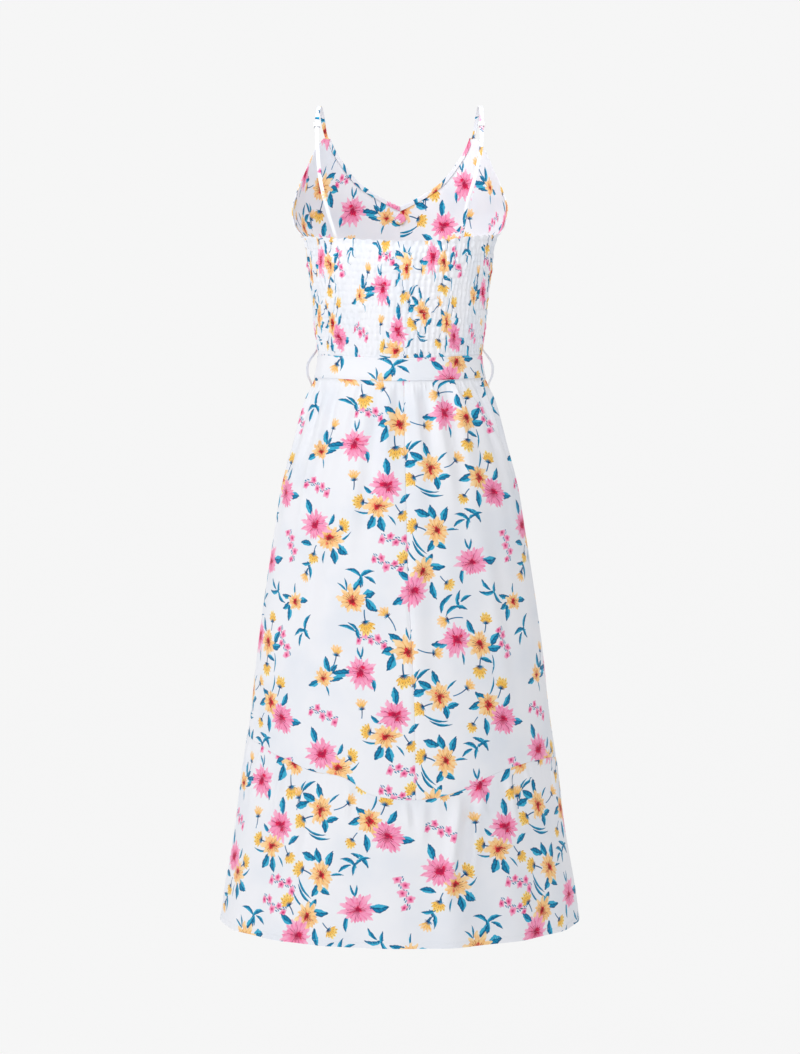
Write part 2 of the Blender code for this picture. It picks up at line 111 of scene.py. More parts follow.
bpy.ops.object.select_all(action="DESELECT")
bpy.ops.mesh.primitive_plane_add(size=FLOOR_SIZE, location=(0.0, FLOOR_MIDDLE, FLOOR_HEIGHT))
backdrop = bpy.context.object
backdrop.name = "backdrop"
bpy.ops.object.transform_apply(location=True, rotation=False, scale=False)
bpy.ops.object.mode_set(mode="EDIT")
select_parts(backdrop, "EDGE", at_far_edge)
bpy.ops.mesh.extrude_region_move(TRANSFORM_OT_translate={"value": (0.0, 0.0, WALL_HEIGHT)})
select_parts(backdrop, "EDGE", lambda edge: len(edge.link_faces) == 2)
bpy.ops.mesh.bevel(offset=SWEEP_RADIUS, segments=24)
bpy.ops.object.mode_set(mode="OBJECT")
bpy.ops.object.shade_smooth()
backdrop.data.materials.append(new_material("paper", PAPER)[0])
print("backdrop faces:", len(backdrop.data.polygons))

# %% [markdown]
# ## The light
# White cloth on a white ground needs soft light that still has a direction, or the folds vanish. A sky of
# one colour fills everything. Four large soft lamps, beside, above and behind the camera, model the folds,
# and a small one behind the neck lights the inside of the front. The Standard view keeps whites white.

# %% Light the studio
SKY_COLOUR = (0.985, 0.99, 1.0, 1.0)
SKY_STRENGTH = 0.36
LAMPS = (
    # name, place, height_aimed_at, size, watts
    ("key", (3.4, 2.0, 0.7), CAMERA_HEIGHT, 1.3, 47.0),
    ("fill", (-3.2, 2.4, 0.1), CAMERA_HEIGHT, 1.8, 15.0),
    ("top", (0.2, 1.2, 2.6), CAMERA_HEIGHT, 1.4, 11.0),
    ("front", (0.5, 3.9, 0.9), CAMERA_HEIGHT, 1.2, 25.0),
    ("neck", (0.0, 0.24, 0.13), -0.15, 0.25, 0.64),
)

world = bpy.data.worlds.new("sky")
world.use_nodes = True
sky = world.node_tree.nodes["Background"]
sky.inputs["Color"].default_value = SKY_COLOUR
sky.inputs["Strength"].default_value = SKY_STRENGTH
bpy.context.scene.world = world
for name, place, height_aimed_at, size, watts in LAMPS:
    lamp = bpy.data.lights.new(name, "AREA")
    lamp.size = size
    lamp.energy = watts
    item = bpy.data.objects.new(name, lamp)
    item.location = place
    aim = Vector((0.0, 0.0, height_aimed_at)) - Vector(place)
    item.rotation_euler = aim.to_track_quat("-Z", "Y").to_euler()
    bpy.context.collection.objects.link(item)
bpy.context.scene.view_settings.view_transform = "Standard"
print("lamps:", len(LAMPS))

# %% [markdown]
# ## The form of the dress
# The dress is built round a stack of half ellipses: a half width and a depth to the back and to the front
# at each height. A place on the cloth is an angle round the body and a height: 0 degrees is the left side
# seam, 90 the centre back, 180 the right side seam and 270 the centre front. These are the CAD model's own
# sizes in metres, read on smooth curves, so every sheet lies on the form of the solid that it replaces.

# %% The sizes of the dress
BODY = (
    # height, half_width, back_depth, front_depth
    (-0.038, 0.1320, 0.084, 0.0980),
    (-0.058, 0.1385, 0.086, 0.1020),
    (-0.089, 0.1460, 0.088, 0.1080),
    (-0.122, 0.1525, 0.090, 0.1140),
    (-0.145, 0.1562, 0.091, 0.1175),
    (-0.160, 0.1548, 0.091, 0.1185),
    (-0.175, 0.1502, 0.091, 0.1175),
    (-0.190, 0.1396, 0.091, 0.1150),
    (-0.208, 0.1334, 0.091, 0.1110),
    (-0.235, 0.1312, 0.091, 0.1060),
    (-0.275, 0.1252, 0.088, 0.0980),
    (-0.320, 0.1216, 0.084, 0.0910),
    (-0.362, 0.1165, 0.081, 0.0870),
    (-0.398, 0.1232, 0.085, 0.0890),
    (-0.437, 0.1350, 0.094, 0.0950),
    (-0.480, 0.1475, 0.104, 0.1030),
    (-0.545, 0.1670, 0.118, 0.1150),
    (-0.610, 0.1786, 0.129, 0.1250),
    (-0.695, 0.1923, 0.141, 0.1370),
    (-0.782, 0.2044, 0.152, 0.1480),
    (-0.868, 0.2135, 0.162, 0.1590),
    (-0.954, 0.2262, 0.173, 0.1710),
    (-1.040, 0.2350, 0.185, 0.1840),
    (-1.126, 0.2484, 0.197, 0.1960),
    (-1.180, 0.2552, 0.204, 0.2030),
)
WAIST = -0.3760
WAIST_DROP = 0.0092
BELT_RISE = 0.0163
BELT_FALL = 0.0157
SEAM_GAP = 0.0003
CLOTH_WALL = 0.0010
FULL_TURN = 2 * math.pi


def read(table, at, column=1):
    """Reads a column of a table on a smooth curve through its rows, at one place or at many."""
    rows = sorted(table)
    keys = np.array([row[0] for row in rows])
    values = np.array([row[column] for row in rows])
    every = np.arange(len(keys))
    low, high = np.maximum(every - 1, 0), np.minimum(every + 1, len(keys) - 1)
    slope = (values[high] - values[low]) / (keys[high] - keys[low])
    at = np.clip(at, keys[0], keys[-1])
    i = np.clip(np.searchsorted(keys, at, side="right") - 1, 0, len(keys) - 2)
    span = keys[i + 1] - keys[i]
    t = (at - keys[i]) / span
    rise = t * t * (3 - 2 * t) * (values[i + 1] - values[i])
    return values[i] + rise + span * t * (1 - t) * ((1 - t) * slope[i] - t * slope[i + 1])


def step(share):
    """Goes from 0 to 1 with a soft start and a soft end."""
    share = np.clip(share, 0.0, 1.0)
    return share * share * (3 - 2 * share)


def bell(x):
    """1 at zero, and less and less on both sides."""
    return np.exp(-(x**2))


def direction(vectors):
    """The same vectors, each one long."""
    return vectors / np.linalg.norm(vectors, axis=-1, keepdims=True)


def body(angle, height, lift=0.0):
    """Points on the outside of the cloth, moved straight out by lift."""
    turn = np.radians(angle)
    wide = read(BODY, height, 1)
    deep = np.where(np.sin(turn) > 0, read(BODY, height, 2), read(BODY, height, 3))
    out_x, out_y = np.cos(turn) / wide, np.sin(turn) / deep
    size = np.hypot(out_x, out_y)
    x = wide * np.cos(turn) + lift * out_x / size
    y = deep * np.sin(turn) + lift * out_y / size
    return np.stack(np.broadcast_arrays(x, y, height), axis=-1)


def waist_height(angle):
    return WAIST - WAIST_DROP * np.maximum(0.0, np.sin(np.radians(angle))) ** 2


def wander(x, seed=0.0):
    """A slow curve between about -1 and 1 that doesn't repeat, for what is uneven in cloth."""
    return (np.sin(1.7 * x + seed) + np.sin(2.93 * x + 2.1 * seed + 1.3) + np.sin(4.61 * x + 0.7 * seed)) / 3


hips = read(BODY, -0.6, 1)
print("half width at the hips:", round(float(hips), 4))

# %% [markdown]
# ## The print
# The cloth is printed with daisies, buds, leaves and berry sprigs on a white ground, in a repeat of about a
# third of a metre. A textile designer draws a few bunches and sets them out in the repeat at different
# turns. The same is done here. A bunch is a short list of motifs, in millimetres from its middle. The chart
# sets bunches out in the repeat. Turn is the way that a motif points, in degrees from the right, and bend
# curves a leaf like a blade of grass.

# %% Draw up the bunches and the chart
REPEAT = np.array([0.350, 0.320])

# Each motif: kind, right, up, half_length, half_width, turn, bend
BUNCHES = {
    "tall pair": (
        ("pink", 6, 14, 26, 24, 10, 0),
        ("gold", -7, -14, 22, 20, 200, 0),
        ("bud", -38, -9, 12, 12, 170, 0),
        ("bud", 30, -30, 11, 11, -50, 0),
        ("leaf_a", 7, 46, 11, 4.6, 95, 0),
        ("leaf_b", 36, -3, 10, 3.6, 35, 0.3),
        ("leaf_a", -19, -42, 10, 5.0, -118, 0.3),
        ("leaf_b", -3, -45, 10, 5.0, -75, -0.3),
        ("leaf_a", -25, 8, 8, 2.6, 140, 0.6),
        ("leaf_b", -32, -27, 13, 1.3, 175, 2.5),
        ("leaf_a", 15, -38, 8, 1.2, -55, 1.0),
    ),
    "wide pair": (
        ("gold", 19, -3, 19, 23, 20, 0),
        ("pink", -16, 4, 25, 24, 75, 0),
        ("leaf_a", -46, -3, 11, 4.8, 187, 0.4),
        ("leaf_b", 4, 24, 10, 4.0, 118, 0.4),
        ("leaf_a", 46, 6, 10, 4.6, 52, 0.4),
        ("leaf_b", 45, -10, 10, 4.4, 3, -0.4),
        ("bud", 32, 34, 11, 11, 85, 0),
        ("bud", 17, -43, 13, 13, -95, 0),
        ("leaf_b", -9, -25, 8, 1.5, -85, 0.8),
        ("leaf_a", 31, -27, 10, 2.6, -20, 0.7),
        ("leaf_a", 43, -36, 12, 1.2, -95, 2.2),
    ),
    "slanting pair": (
        ("gold", -12, 11, 21, 20, 130, 0),
        ("pink", 12, -10, 27, 25, -20, 0),
        ("leaf_a", -27, 24, 10, 4.2, 150, 0.4),
        ("leaf_b", -36, 10, 11, 4.2, 205, 0.4),
        ("bud", 12, 41, 12, 12, 75, 0),
        ("bud", -42, -21, 10, 10, -120, 0),
        ("leaf_a", 43, -16, 11, 4.6, 0, 0.4),
        ("leaf_b", -16, -23, 11, 4.0, -85, 0.4),
        ("leaf_a", 23, 17, 10, 4.0, 55, -0.4),
        ("leaf_b", -4, 39, 13, 1.3, 72, -2.2),
        ("leaf_a", -31, -41, 9, 2.2, -30, 0.9),
        ("leaf_b", -20, -48, 10, 2.6, -55, 0.5),
    ),
    "lone pink": (
        ("pink", 0, 0, 25, 24, 0, 0),
        ("leaf_a", -34, -3, 12, 4.8, 185, 0.4),
        ("leaf_b", 22, -18, 10, 2.8, -75, 0.8),
        ("leaf_a", -3, 28, 8, 1.6, 112, 0.8),
        ("leaf_b", 4, 29, 8, 1.6, 75, -0.8),
    ),
    "large gold": (
        ("gold", 0, 0, 23, 22, 50, 0),
        ("leaf_a", -20, 20, 10, 4.8, 150, 0.4),
        ("leaf_b", -31, 1, 9, 5.2, 188, -0.3),
        ("leaf_a", -27, -18, 11, 5.2, 246, 0.4),
        ("bud", -7, -43, 14, 14, -80, 0),
        ("leaf_b", 13, -37, 11, 2.0, 62, 1.2),
        ("leaf_a", 24, -33, 13, 2.2, 38, 1.4),
        ("leaf_b", -1, 28, 8, 1.3, 102, 0.8),
        ("leaf_a", 7, 27, 8, 1.3, 60, 0.8),
        ("leaf_b", 12, -49, 8, 2.4, -88, 0.4),
    ),
    "leafy gold": (
        ("gold", 4, 0, 21, 20, 290, 0),
        ("leaf_a", -2, 27, 11, 4.2, 112, 0.4),
        ("leaf_b", -19, 17, 10, 4.6, 152, 0.4),
        ("leaf_a", -30, 5, 10, 4.6, 197, 0.3),
        ("leaf_b", 24, -14, 9, 3.6, 18, 0.4),
        ("leaf_a", 14, -24, 9, 4.0, -80, 0.4),
        ("bud", -28, -18, 12, 12, 205, 0),
        ("leaf_b", -3, -37, 16, 1.5, -14, -2.6),
        ("leaf_a", 5, -44, 15, 1.7, -8, -2.2),
        ("leaf_b", 23, 18, 9, 1.4, 42, 1.0),
    ),
    "small gold": (
        ("gold", 0, 0, 15, 15, 160, 0),
        ("leaf_a", 6, 22, 10, 4.0, 102, 0.4),
        ("leaf_b", 16, 14, 9, 3.6, 48, 0.4),
        ("leaf_a", -17, -9, 9, 3.6, 202, 0.3),
        ("leaf_b", 22, 0, 9, 3.0, 12, 0.5),
        ("leaf_a", 7, -18, 8, 1.3, -72, 0.9),
    ),
    "sprig": (("sprig", 0, 0, 44, 44, 0, 0),),
    "small bud": (("small_bud", 0, 0, 10, 10, 0, 0),),
    "spray": (
        ("leaf_a", -12, 5, 12, 2.4, 155, -1.8),
        ("leaf_b", 8, 3, 12, 2.6, 22, 1.6),
        ("leaf_a", 0, -9, 9, 2.2, -75, 0.8),
        ("leaf_b", 16, -8, 9, 2.2, -32, 0.9),
    ),
}

CHART = (
    # bunch, right, down, turn, mirrored
    ("small gold", 38, 72, 0, False),
    ("lone pink", 96, 62, 0, False),
    ("large gold", 166, 34, 0, False),
    ("wide pair", 258, 22, 0, False),
    ("leafy gold", 208, 96, 0, False),
    ("tall pair", 139, 136, 0, False),
    ("slanting pair", 298, 120, 0, False),
    ("tall pair", 44, 186, 25, True),
    ("leafy gold", 214, 182, -40, False),
    ("lone pink", 270, 230, 10, True),
    ("slanting pair", 190, 256, 20, True),
    ("large gold", 88, 284, 20, True),
    ("small gold", 342, 286, 160, False),
    ("sprig", 90, 14, -8, False),
    ("sprig", 134, 190, -22, False),
    ("sprig", 120, 222, -20, False),
    ("sprig", 12, 116, -14, False),
    ("sprig", 330, 182, -80, False),
    ("sprig", 308, 320, -68, False),
    ("small bud", 60, 34, 80, False),
    ("small bud", 96, 108, 95, False),
    ("small bud", 256, 82, 40, False),
    ("small bud", 212, 36, 0, False),
    ("small bud", 136, 300, 130, False),
    ("small bud", 224, 312, 200, False),
    ("small bud", 14, 250, 240, False),
    ("small bud", 172, 76, 100, False),
    ("spray", 104, 246, 0, False),
    ("spray", 244, 288, 60, False),
    ("spray", 300, 274, 160, False),
    ("spray", 264, 166, 0, True),
    ("spray", 24, 234, -100, False),
    ("spray", 8, 4, 40, True),
)
MM = 0.001
SMALL_BUDS_FROM = 200
FITTED = {
    # kind: share of its distance from the bunch's middle, share of its size
    "pink": (1.00, 1.04),
    "gold": (1.00, 1.03),
    "leaf_a": (0.91, 1.23),
    "leaf_b": (0.91, 1.23),
    "bud": (0.94, 1.00),
    "small_bud": (1.00, 1.12),
    "sprig": (1.00, 1.12),
}


def placed_motifs():
    """Every motif in the repeat, by kind: right, down, half_length, half_width, turn, bend and own number."""
    found = {}
    for number, (bunch, right, down, turned, mirrored) in enumerate(CHART):
        swing = math.radians(turned)
        for kind, x, y, long, wide, turn, bend in BUNCHES[bunch]:
            if mirrored:
                x, turn, bend = -x, 180 - turn, -bend
            closer, larger = FITTED.get(kind, (1.0, 1.0))
            x, y, long, wide = x * closer, y * closer, long * larger, wide * larger
            s = right + x * math.cos(swing) - y * math.sin(swing)
            t = down - x * math.sin(swing) - y * math.cos(swing)
            own = (37 * number + 11 * len(found.get(kind, ()))) % 100
            if kind == "small_bud":
                own += SMALL_BUDS_FROM
            row = (s * MM, t * MM, long * MM, wide * MM, math.radians(turn + turned), bend, own)
            found.setdefault("bud" if kind == "small_bud" else kind, []).append(row)
    return {kind: np.array(rows) for kind, rows in found.items()}


MOTIFS = placed_motifs()
print("motifs in a repeat:", {kind: len(rows) for kind, rows in MOTIFS.items()})

# %% [markdown]
# ## From the chart to the cloth
# Each sheet has a UV map named Cloth, which says in metres where each corner lay on the flat cloth before
# it was sewn. For each face, the nearest motif of each kind is looked up in the chart, and the face's
# corners get their places in that motif's own measure: along it, across it, and the motif's own number. A
# shader then draws each kind only once, however many motifs there are.

# %% Write the print's places on a sheet
FAR_AWAY = 9.0
NEARER_ITS_MIDDLE = 0.3 * MM
# Where a kind lies on its own axes, if not from -1 to 1: its middle, its reach along and its reach across.
SPAN = {"sprig": (0.5, 0.5, 0.25), "bud": (-0.3, 1.3, 1.0)}


def to_motif(offset, row):
    """Places along and across a motif, in its half lengths and half widths, for offsets from its middle."""
    s, t = offset[..., 0], offset[..., 1]
    long, wide, turn, bend = row[..., 2], row[..., 3], row[..., 4], row[..., 5]
    along = (s * np.cos(turn) - t * np.sin(turn)) / long
    across = (-s * np.sin(turn) - t * np.cos(turn)) / wide
    return along, across + bend * along**2


def print_cloth(piece):
    """Gives every corner of a sheet its place in the nearest motif of each kind."""
    mesh = piece.data
    flat = np.empty(len(mesh.loops) * 2)
    mesh.uv_layers["Cloth"].data.foreach_get("uv", flat)
    flat = flat.reshape(-1, 2)
    start, total = np.empty((2, len(mesh.polygons)), dtype=int)
    mesh.polygons.foreach_get("loop_start", start)
    mesh.polygons.foreach_get("loop_total", total)
    middle = np.add.reduceat(flat, start, axis=0) / total[:, None]
    every = np.arange(len(start))
    face_of = np.repeat(every, total)
    for kind, motifs in MOTIFS.items():
        offset = middle[:, None] - motifs[:, :2]
        wrap = np.round(offset / REPEAT) * REPEAT
        along, across = to_motif(offset - wrap, motifs)
        centre, reach, breadth = SPAN.get(kind, (0.0, 1.0, 1.0))
        past_end = np.maximum(np.abs(along - centre) - reach, 0.0) * motifs[:, 2]
        past_side = np.maximum(np.abs(across) - breadth, 0.0) * motifs[:, 3]
        away = np.hypot(past_end, past_side) + np.hypot(along, across) * NEARER_ITS_MIDDLE
        nearest = np.argmin(away, axis=1)
        row = motifs[nearest][face_of]
        shift = (motifs[nearest, :2] + wrap[every, nearest])[face_of]
        places = np.clip(to_motif(flat - shift, row), -FAR_AWAY, FAR_AWAY)
        made = mesh.attributes.new("print_" + kind, "FLOAT_VECTOR", "CORNER")
        made.data.foreach_set("vector", np.stack([*places, row[:, 6]], axis=1).ravel())


print("kinds of motif:", sorted(MOTIFS))

# %% [markdown]
# ## Shader nodes as sums
# A print that is drawn by formula takes many small nodes. A Term stands for what one socket gives.
# Arithmetic with it adds the node that works it out, so a formula reads nearly as it would on paper.


# %% Terms of a shader tree
class Term:
    """What one socket of a shader tree gives."""

    def __init__(self, tree, socket):
        self.tree = tree
        self.socket = socket


Term.__add__ = lambda self, other: maths("ADD", self, other)
Term.__sub__ = lambda self, other: maths("SUBTRACT", self, other)
Term.__rsub__ = lambda self, other: maths("SUBTRACT", other, self)
Term.__mul__ = lambda self, other: maths("MULTIPLY", self, other)
Term.__truediv__ = lambda self, other: maths("DIVIDE", self, other)
Term.__pow__ = lambda self, other: maths("POWER", self, other)
Term.__abs__ = lambda self: maths("ABSOLUTE", self)


def node(tree, kind, values=(), output=0, **settings):
    """Adds a node, sets it up, fills its inputs by place or by name, and gives one of its outputs."""
    made = tree.nodes.new(kind)
    made.location = (180 * (len(tree.nodes) % 12), -220 * (len(tree.nodes) // 12))
    for name, value in settings.items():
        setattr(made, name, value)
    for key, value in values.items() if isinstance(values, dict) else enumerate(values):
        socket = made.inputs[key]
        if isinstance(value, Term):
            tree.links.new(value.socket, socket)
        else:
            socket.default_value = (*value, 1.0) if socket.type == "RGBA" else value
    return Term(tree, made.outputs[output])


def tree_of(*values):
    return next(value.tree for value in values if isinstance(value, Term))


def maths(operation, *values):
    return node(tree_of(*values), "ShaderNodeMath", values, operation=operation)


def ramp(value, low, high, start=0.0, end=1.0):
    """Goes softly from start to end while the value goes from low to high."""
    values = (value, low, high, start, end)
    return node(value.tree, "ShaderNodeMapRange", values, interpolation_type="SMOOTHSTEP")


def line(value, half_width, soft):
    """1 where the value is within half a width of zero, with soft edges."""
    return ramp(abs(value), half_width, half_width + soft, 1.0, 0.0)


def mix(share, first, second):
    values = {0: share, 6: first, 7: second}
    return node(tree_of(share, first, second), "ShaderNodeMix", values, 2, data_type="RGBA")


def join(x, y):
    return node(tree_of(x, y), "ShaderNodeCombineXYZ", (x, y))


def split(vector):
    made = node(vector.tree, "ShaderNodeSeparateXYZ", (vector,)).socket.node
    return [Term(vector.tree, socket) for socket in made.outputs]


def noise(place, scale, detail=2.0):
    """Soft noise between about -0.3 and 0.3."""
    values = {"Vector": place, "Scale": scale, "Detail": detail}
    return node(place.tree, "ShaderNodeTexNoise", values) - 0.5


def chance(x, y):
    return node(tree_of(x, y), "ShaderNodeTexWhiteNoise", {"Vector": join(x, y)}, noise_dimensions="2D")


def start_group(name, inputs, outputs):
    """A node group with named sockets. Gives its tree and its inputs as terms."""
    tree = bpy.data.node_groups.new(name, "ShaderNodeTree")
    for way, sockets in (("INPUT", inputs), ("OUTPUT", outputs)):
        for label, kind in sockets.items():
            tree.interface.new_socket(name=label, in_out=way, socket_type="NodeSocket" + kind)
    given = tree.nodes.new("NodeGroupInput")
    return tree, [Term(tree, socket) for socket in given.outputs if socket.name]


def finish_group(tree, **values):
    out = tree.nodes.new("NodeGroupOutput")
    for label, value in values.items():
        tree.links.new(value.socket, out.inputs[label])
    print(tree.name, "nodes:", len(tree.nodes))
    return tree


COLOUR_AND_MASK = {"Colour": "Color", "Mask": "Float"}


def srgb(*channels):
    """A colour as image programs give it, from 0 to 255, in the linear numbers that a shader takes."""
    return tuple(c / 255 / 12.92 if c <= 10 else ((c / 255 + 0.055) / 1.055) ** 2.4 for c in channels)


print("white cloth:", [round(c, 3) for c in srgb(242, 243, 248)])

# %% [markdown]
# ## A daisy
# A daisy is drawn in polar measure. The angle round the flower is cut into as many parts as it has petals,
# and each petal is long or short by chance. A second ring of petals shows between them, so they touch up to
# near their points. The heart is an uneven crimson blot, and fine dark stamens run out from it.


# %% The daisy's nodes
def petal_ring(around, radius, petals, own, shift, least, most):
    """One ring of petals: its mask, and how near a place is to the border between two petals."""
    turn = around * petals + shift
    number = maths("MODULO", maths("FLOOR", turn), petals)
    across = abs(maths("FRACT", turn) - 0.5)
    length = chance(number, own + 10 * shift) * (most - least) + least
    left = maths("MAXIMUM", 1.0 - radius / length, 0.0)
    half = maths("MINIMUM", (left / 0.54) ** 0.68, 1.0) * 0.56
    return ramp(half - across, 0.0, 0.07), across


def daisy_group():
    colours = dict.fromkeys(("Petal", "Tip", "Shade", "Heart", "Line"), "Color")
    tree, terms = start_group("daisy", {"Place": "Vector", "Petals": "Float", **colours}, COLOUR_AND_MASK)
    place, petals, petal, tip, shade, heart, stamen = terms
    x, y, own = split(place)
    own = maths("ROUND", own)
    seeded = join(x + own * 7.0, y)
    rough = noise(seeded, 3.0)
    fine = noise(seeded, 13.0, 1.0)
    angle = maths("ARCTAN2", y, x)
    lopsided = maths("SINE", angle + own) * 0.09 + maths("SINE", angle * 2.0 + own * 1.7) * 0.06 + 1.0
    radius = (x * x + y * y) ** 0.5 * lopsided + fine * 0.07 + rough * 0.08
    around = angle / FULL_TURN + rough * 0.06 + 0.5
    front, across = petal_ring(around, radius, petals, own, 0.0, 0.76, 1.10)
    behind, _ = petal_ring(around, radius, petals, own, 0.5, 0.54, 0.86)

    streaks = noise(join(around * petals * 1.5 + own * 3.0, radius * 1.1), 1.9, 1.0)
    colour = mix(ramp(radius + rough * 0.5, 0.35, 0.95), petal, tip)
    colour = mix(ramp(streaks, -0.02, 0.16, 0.0, 0.52), colour, shade)
    border = ramp(across, 0.34, 0.48) * ramp(radius, 0.18, 0.42)
    colour = mix(border * 0.50, colour, shade)
    colour = mix((1.0 - front) * 0.45, colour, shade)
    colour = mix(ramp(radius + rough * 0.9, 0.08, 0.46, 0.66, 0.0), colour, heart)

    rays = around * 23.0 + own * 0.37
    reach = chance(maths("FLOOR", rays), own + 5.0) * 0.52 + 0.12
    thin = line((maths("FRACT", rays) - 0.5) * radius, 0.036, 0.034)
    colour = mix(ramp(radius + rough * 1.3, 0.12, 0.21, 1.0, 0.0), colour, heart)
    colour = mix(thin * ramp(reach - radius, 0.0, 0.05) * ramp(fine, -0.20, -0.06) * 0.84, colour, stamen)
    return finish_group(tree, Colour=colour, Mask=maths("MAXIMUM", front, behind))


DAISY = daisy_group()

# %% [markdown]
# ## A leaf
# A leaf is a lens with pointed ends and an uneven edge, light on one side of its rib and dark on the other,
# with a few brush strokes for veins. Narrow and bent, the same nodes draw a blade of grass.


# %% The leaf's nodes
def leaf_group():
    tree, (place,) = start_group("leaf", {"Place": "Vector"}, COLOUR_AND_MASK)
    x, y, own = split(place)
    rough = noise(join(x * 1.6 + maths("ROUND", own) * 9.0, y), 1.6)
    width = 1.05 - abs(x) ** 1.7 - x * 0.16
    side = y + rough * 0.75
    inside = width - abs(side)
    mask = ramp(inside, 0.0, 0.14) * ramp(abs(x), 0.97, 1.0, 1.0, 0.0)
    light, deep, dark = srgb(58, 176, 212), srgb(0, 134, 180), srgb(4, 70, 114)
    colour = mix(ramp(side + rough, -0.10, 0.45), deep, light)
    vein = maths("FRACT", x * 2.2 - abs(y) * 0.9) - 0.5
    veins = line(vein, 0.05, 0.10) * ramp(side, -0.2, 0.3, 0.75, 0.15)
    rib = line(side - 0.05, 0.05, 0.12) * 0.8
    rim = ramp(inside, 0.16, 0.44, 0.85, 0.0) * ramp(side, -0.3, 0.1, 1.0, 0.0)
    for share in (veins, rib, rim):
        colour = mix(share, colour, dark)
    return finish_group(tree, Colour=colour, Mask=mask)


LEAF = leaf_group()

# %% [markdown]
# ## A bud
# A bud is a cup of petals on a blue calyx and a thin stem. It is drawn like a daisy, in polar measure round
# the foot of the cup, but only a part of the turn is filled. A large bud is yellow with rows of brown
# ticks, and a small one is peach with fewer petals.


# %% The bud's nodes
def bud_group():
    tree, (place,) = start_group("bud", {"Place": "Vector"}, COLOUR_AND_MASK)
    x, y, own = split(place)
    own = maths("ROUND", own)
    small = ramp(own, SMALL_BUDS_FROM - 2.0, SMALL_BUDS_FROM - 1.0)
    rough = noise(join(x + own * 5.0, y), 3.0)
    foot = x + 0.66
    radius = (foot * foot + y * y) ** 0.5 / 1.6 + rough * 0.08
    angle = maths("ARCTAN2", y, foot) + rough * 0.2
    turn = angle * 2.9 + 0.5
    across = abs(maths("FRACT", turn) - 0.5)
    length = chance(maths("FLOOR", turn), own) * 0.14 + 0.90 - angle * angle * 0.26
    spread = 1.16 - small * 0.36
    cup = ramp(length - radius - across * across * 0.85, 0.0, 0.05) * ramp(spread - abs(angle), 0.0, 0.10)
    yellow = mix(ramp(radius + rough, 0.35, 0.9), srgb(252, 198, 84), srgb(255, 226, 136))
    peach = mix(ramp(radius + rough, 0.3, 0.8), srgb(252, 196, 100), srgb(255, 216, 168))
    colour = mix(small, yellow, peach)
    gap = ramp(across, 0.34, 0.48, 0.0, 0.75) * ramp(radius, 0.28, 0.45)
    colour = mix(gap, colour, srgb(236, 160, 62))
    rows = maths("MAXIMUM", line(radius - 0.52, 0.06, 0.04), line(radius - 0.76, 0.05, 0.04))
    tick = line(across, 0.06, 0.06) * rows * (1.0 - small)
    colour = mix(tick * 0.85, colour, srgb(158, 78, 48))
    calyx = ramp(0.40 - across * 0.42 - radius, 0.0, 0.04) * ramp(1.45 - abs(angle), 0.0, 0.1)
    stem = line(y - foot * foot * 0.14, 0.06, 0.04) * ramp(foot, 0.0, 0.05, 1.0, 0.0)
    stem = stem * ramp(foot + small * 0.8, -1.10, -1.02)
    blue = maths("MAXIMUM", calyx, stem)
    colour = mix(blue, colour, mix(ramp(y, -0.1, 0.15), srgb(14, 62, 112), srgb(0, 122, 172)))
    return finish_group(tree, Colour=colour, Mask=maths("MAXIMUM", cup, blue))


BUD = bud_group()

# %% [markdown]
# ## A sprig of berries
# A thin dark stem waves along the sprig, with a small pink blossom in turn on each side of it and a curl of
# leaf across from it. The length is cut into equal parts, one for each blossom.

# %% The sprig's nodes
BLOSSOMS = 5.0


def sprig_group():
    tree, (place,) = start_group("sprig", {"Place": "Vector"}, COLOUR_AND_MASK)
    x, y, own = split(place)
    own = maths("ROUND", own)
    rough = noise(join(x * 3.0 + own * 3.0, y * 3.0), 3.0)
    within = line(x - 0.5, 0.46, 0.02)
    off = y - maths("SINE", x * 6.0 + own) * 0.05 + rough * 0.04
    part = x * BLOSSOMS + 0.02
    number = maths("FLOOR", part)
    side = maths("MODULO", number, 2.0) * 2.0 - 1.0
    near_x = (maths("FRACT", part) - 0.5) / BLOSSOMS + rough * 0.03
    near_y = off - side * 0.085
    away = (near_x * near_x + near_y * near_y) ** 0.5
    petals = maths("COSINE", maths("ARCTAN2", near_y, near_x) * 5.0 + own)
    size = (chance(number, own) * 0.040 + 0.098) * (petals * 0.18 + 1.0)
    blossom = ramp(size - away, 0.0, 0.012) * within
    stem = line(off, 0.011, 0.010)
    twig = line(near_x, 0.008, 0.010) * ramp(off * side, -0.01, 0.0) * line(off, 0.06, 0.01)
    curl_y = off + side * 0.062
    curl = (near_x * near_x * 0.5 + curl_y * curl_y * 2.0) ** 0.5
    leaf = ramp(0.052 - curl, 0.0, 0.008) * ramp(abs(curl_y + near_x * 0.6), 0.010, 0.020)
    dark = maths("MAXIMUM", maths("MAXIMUM", stem, twig), leaf) * within
    colour = mix(ramp(away + rough * 0.06, 0.03, 0.09), srgb(240, 100, 156), srgb(252, 172, 204))
    colour = mix(ramp(away, 0.016, 0.030, 0.9, 0.0), colour, srgb(176, 30, 84))
    green = mix(leaf, srgb(20, 66, 112), srgb(0, 118, 168))
    colour = mix(blossom, green, colour)
    return finish_group(tree, Colour=colour, Mask=maths("MAXIMUM", dark, blossom))


SPRIG = sprig_group()

# %% [markdown]
# ## The printed cloth
# The cloth is a light plain weave, smooth and matt. One group lays the print down in layers, as a printer
# does: sprigs, leaves, buds, then the flowers on top. Another raises the threads of the weave and shades
# the white a little. The sheets and the trims use both, each in its own material.

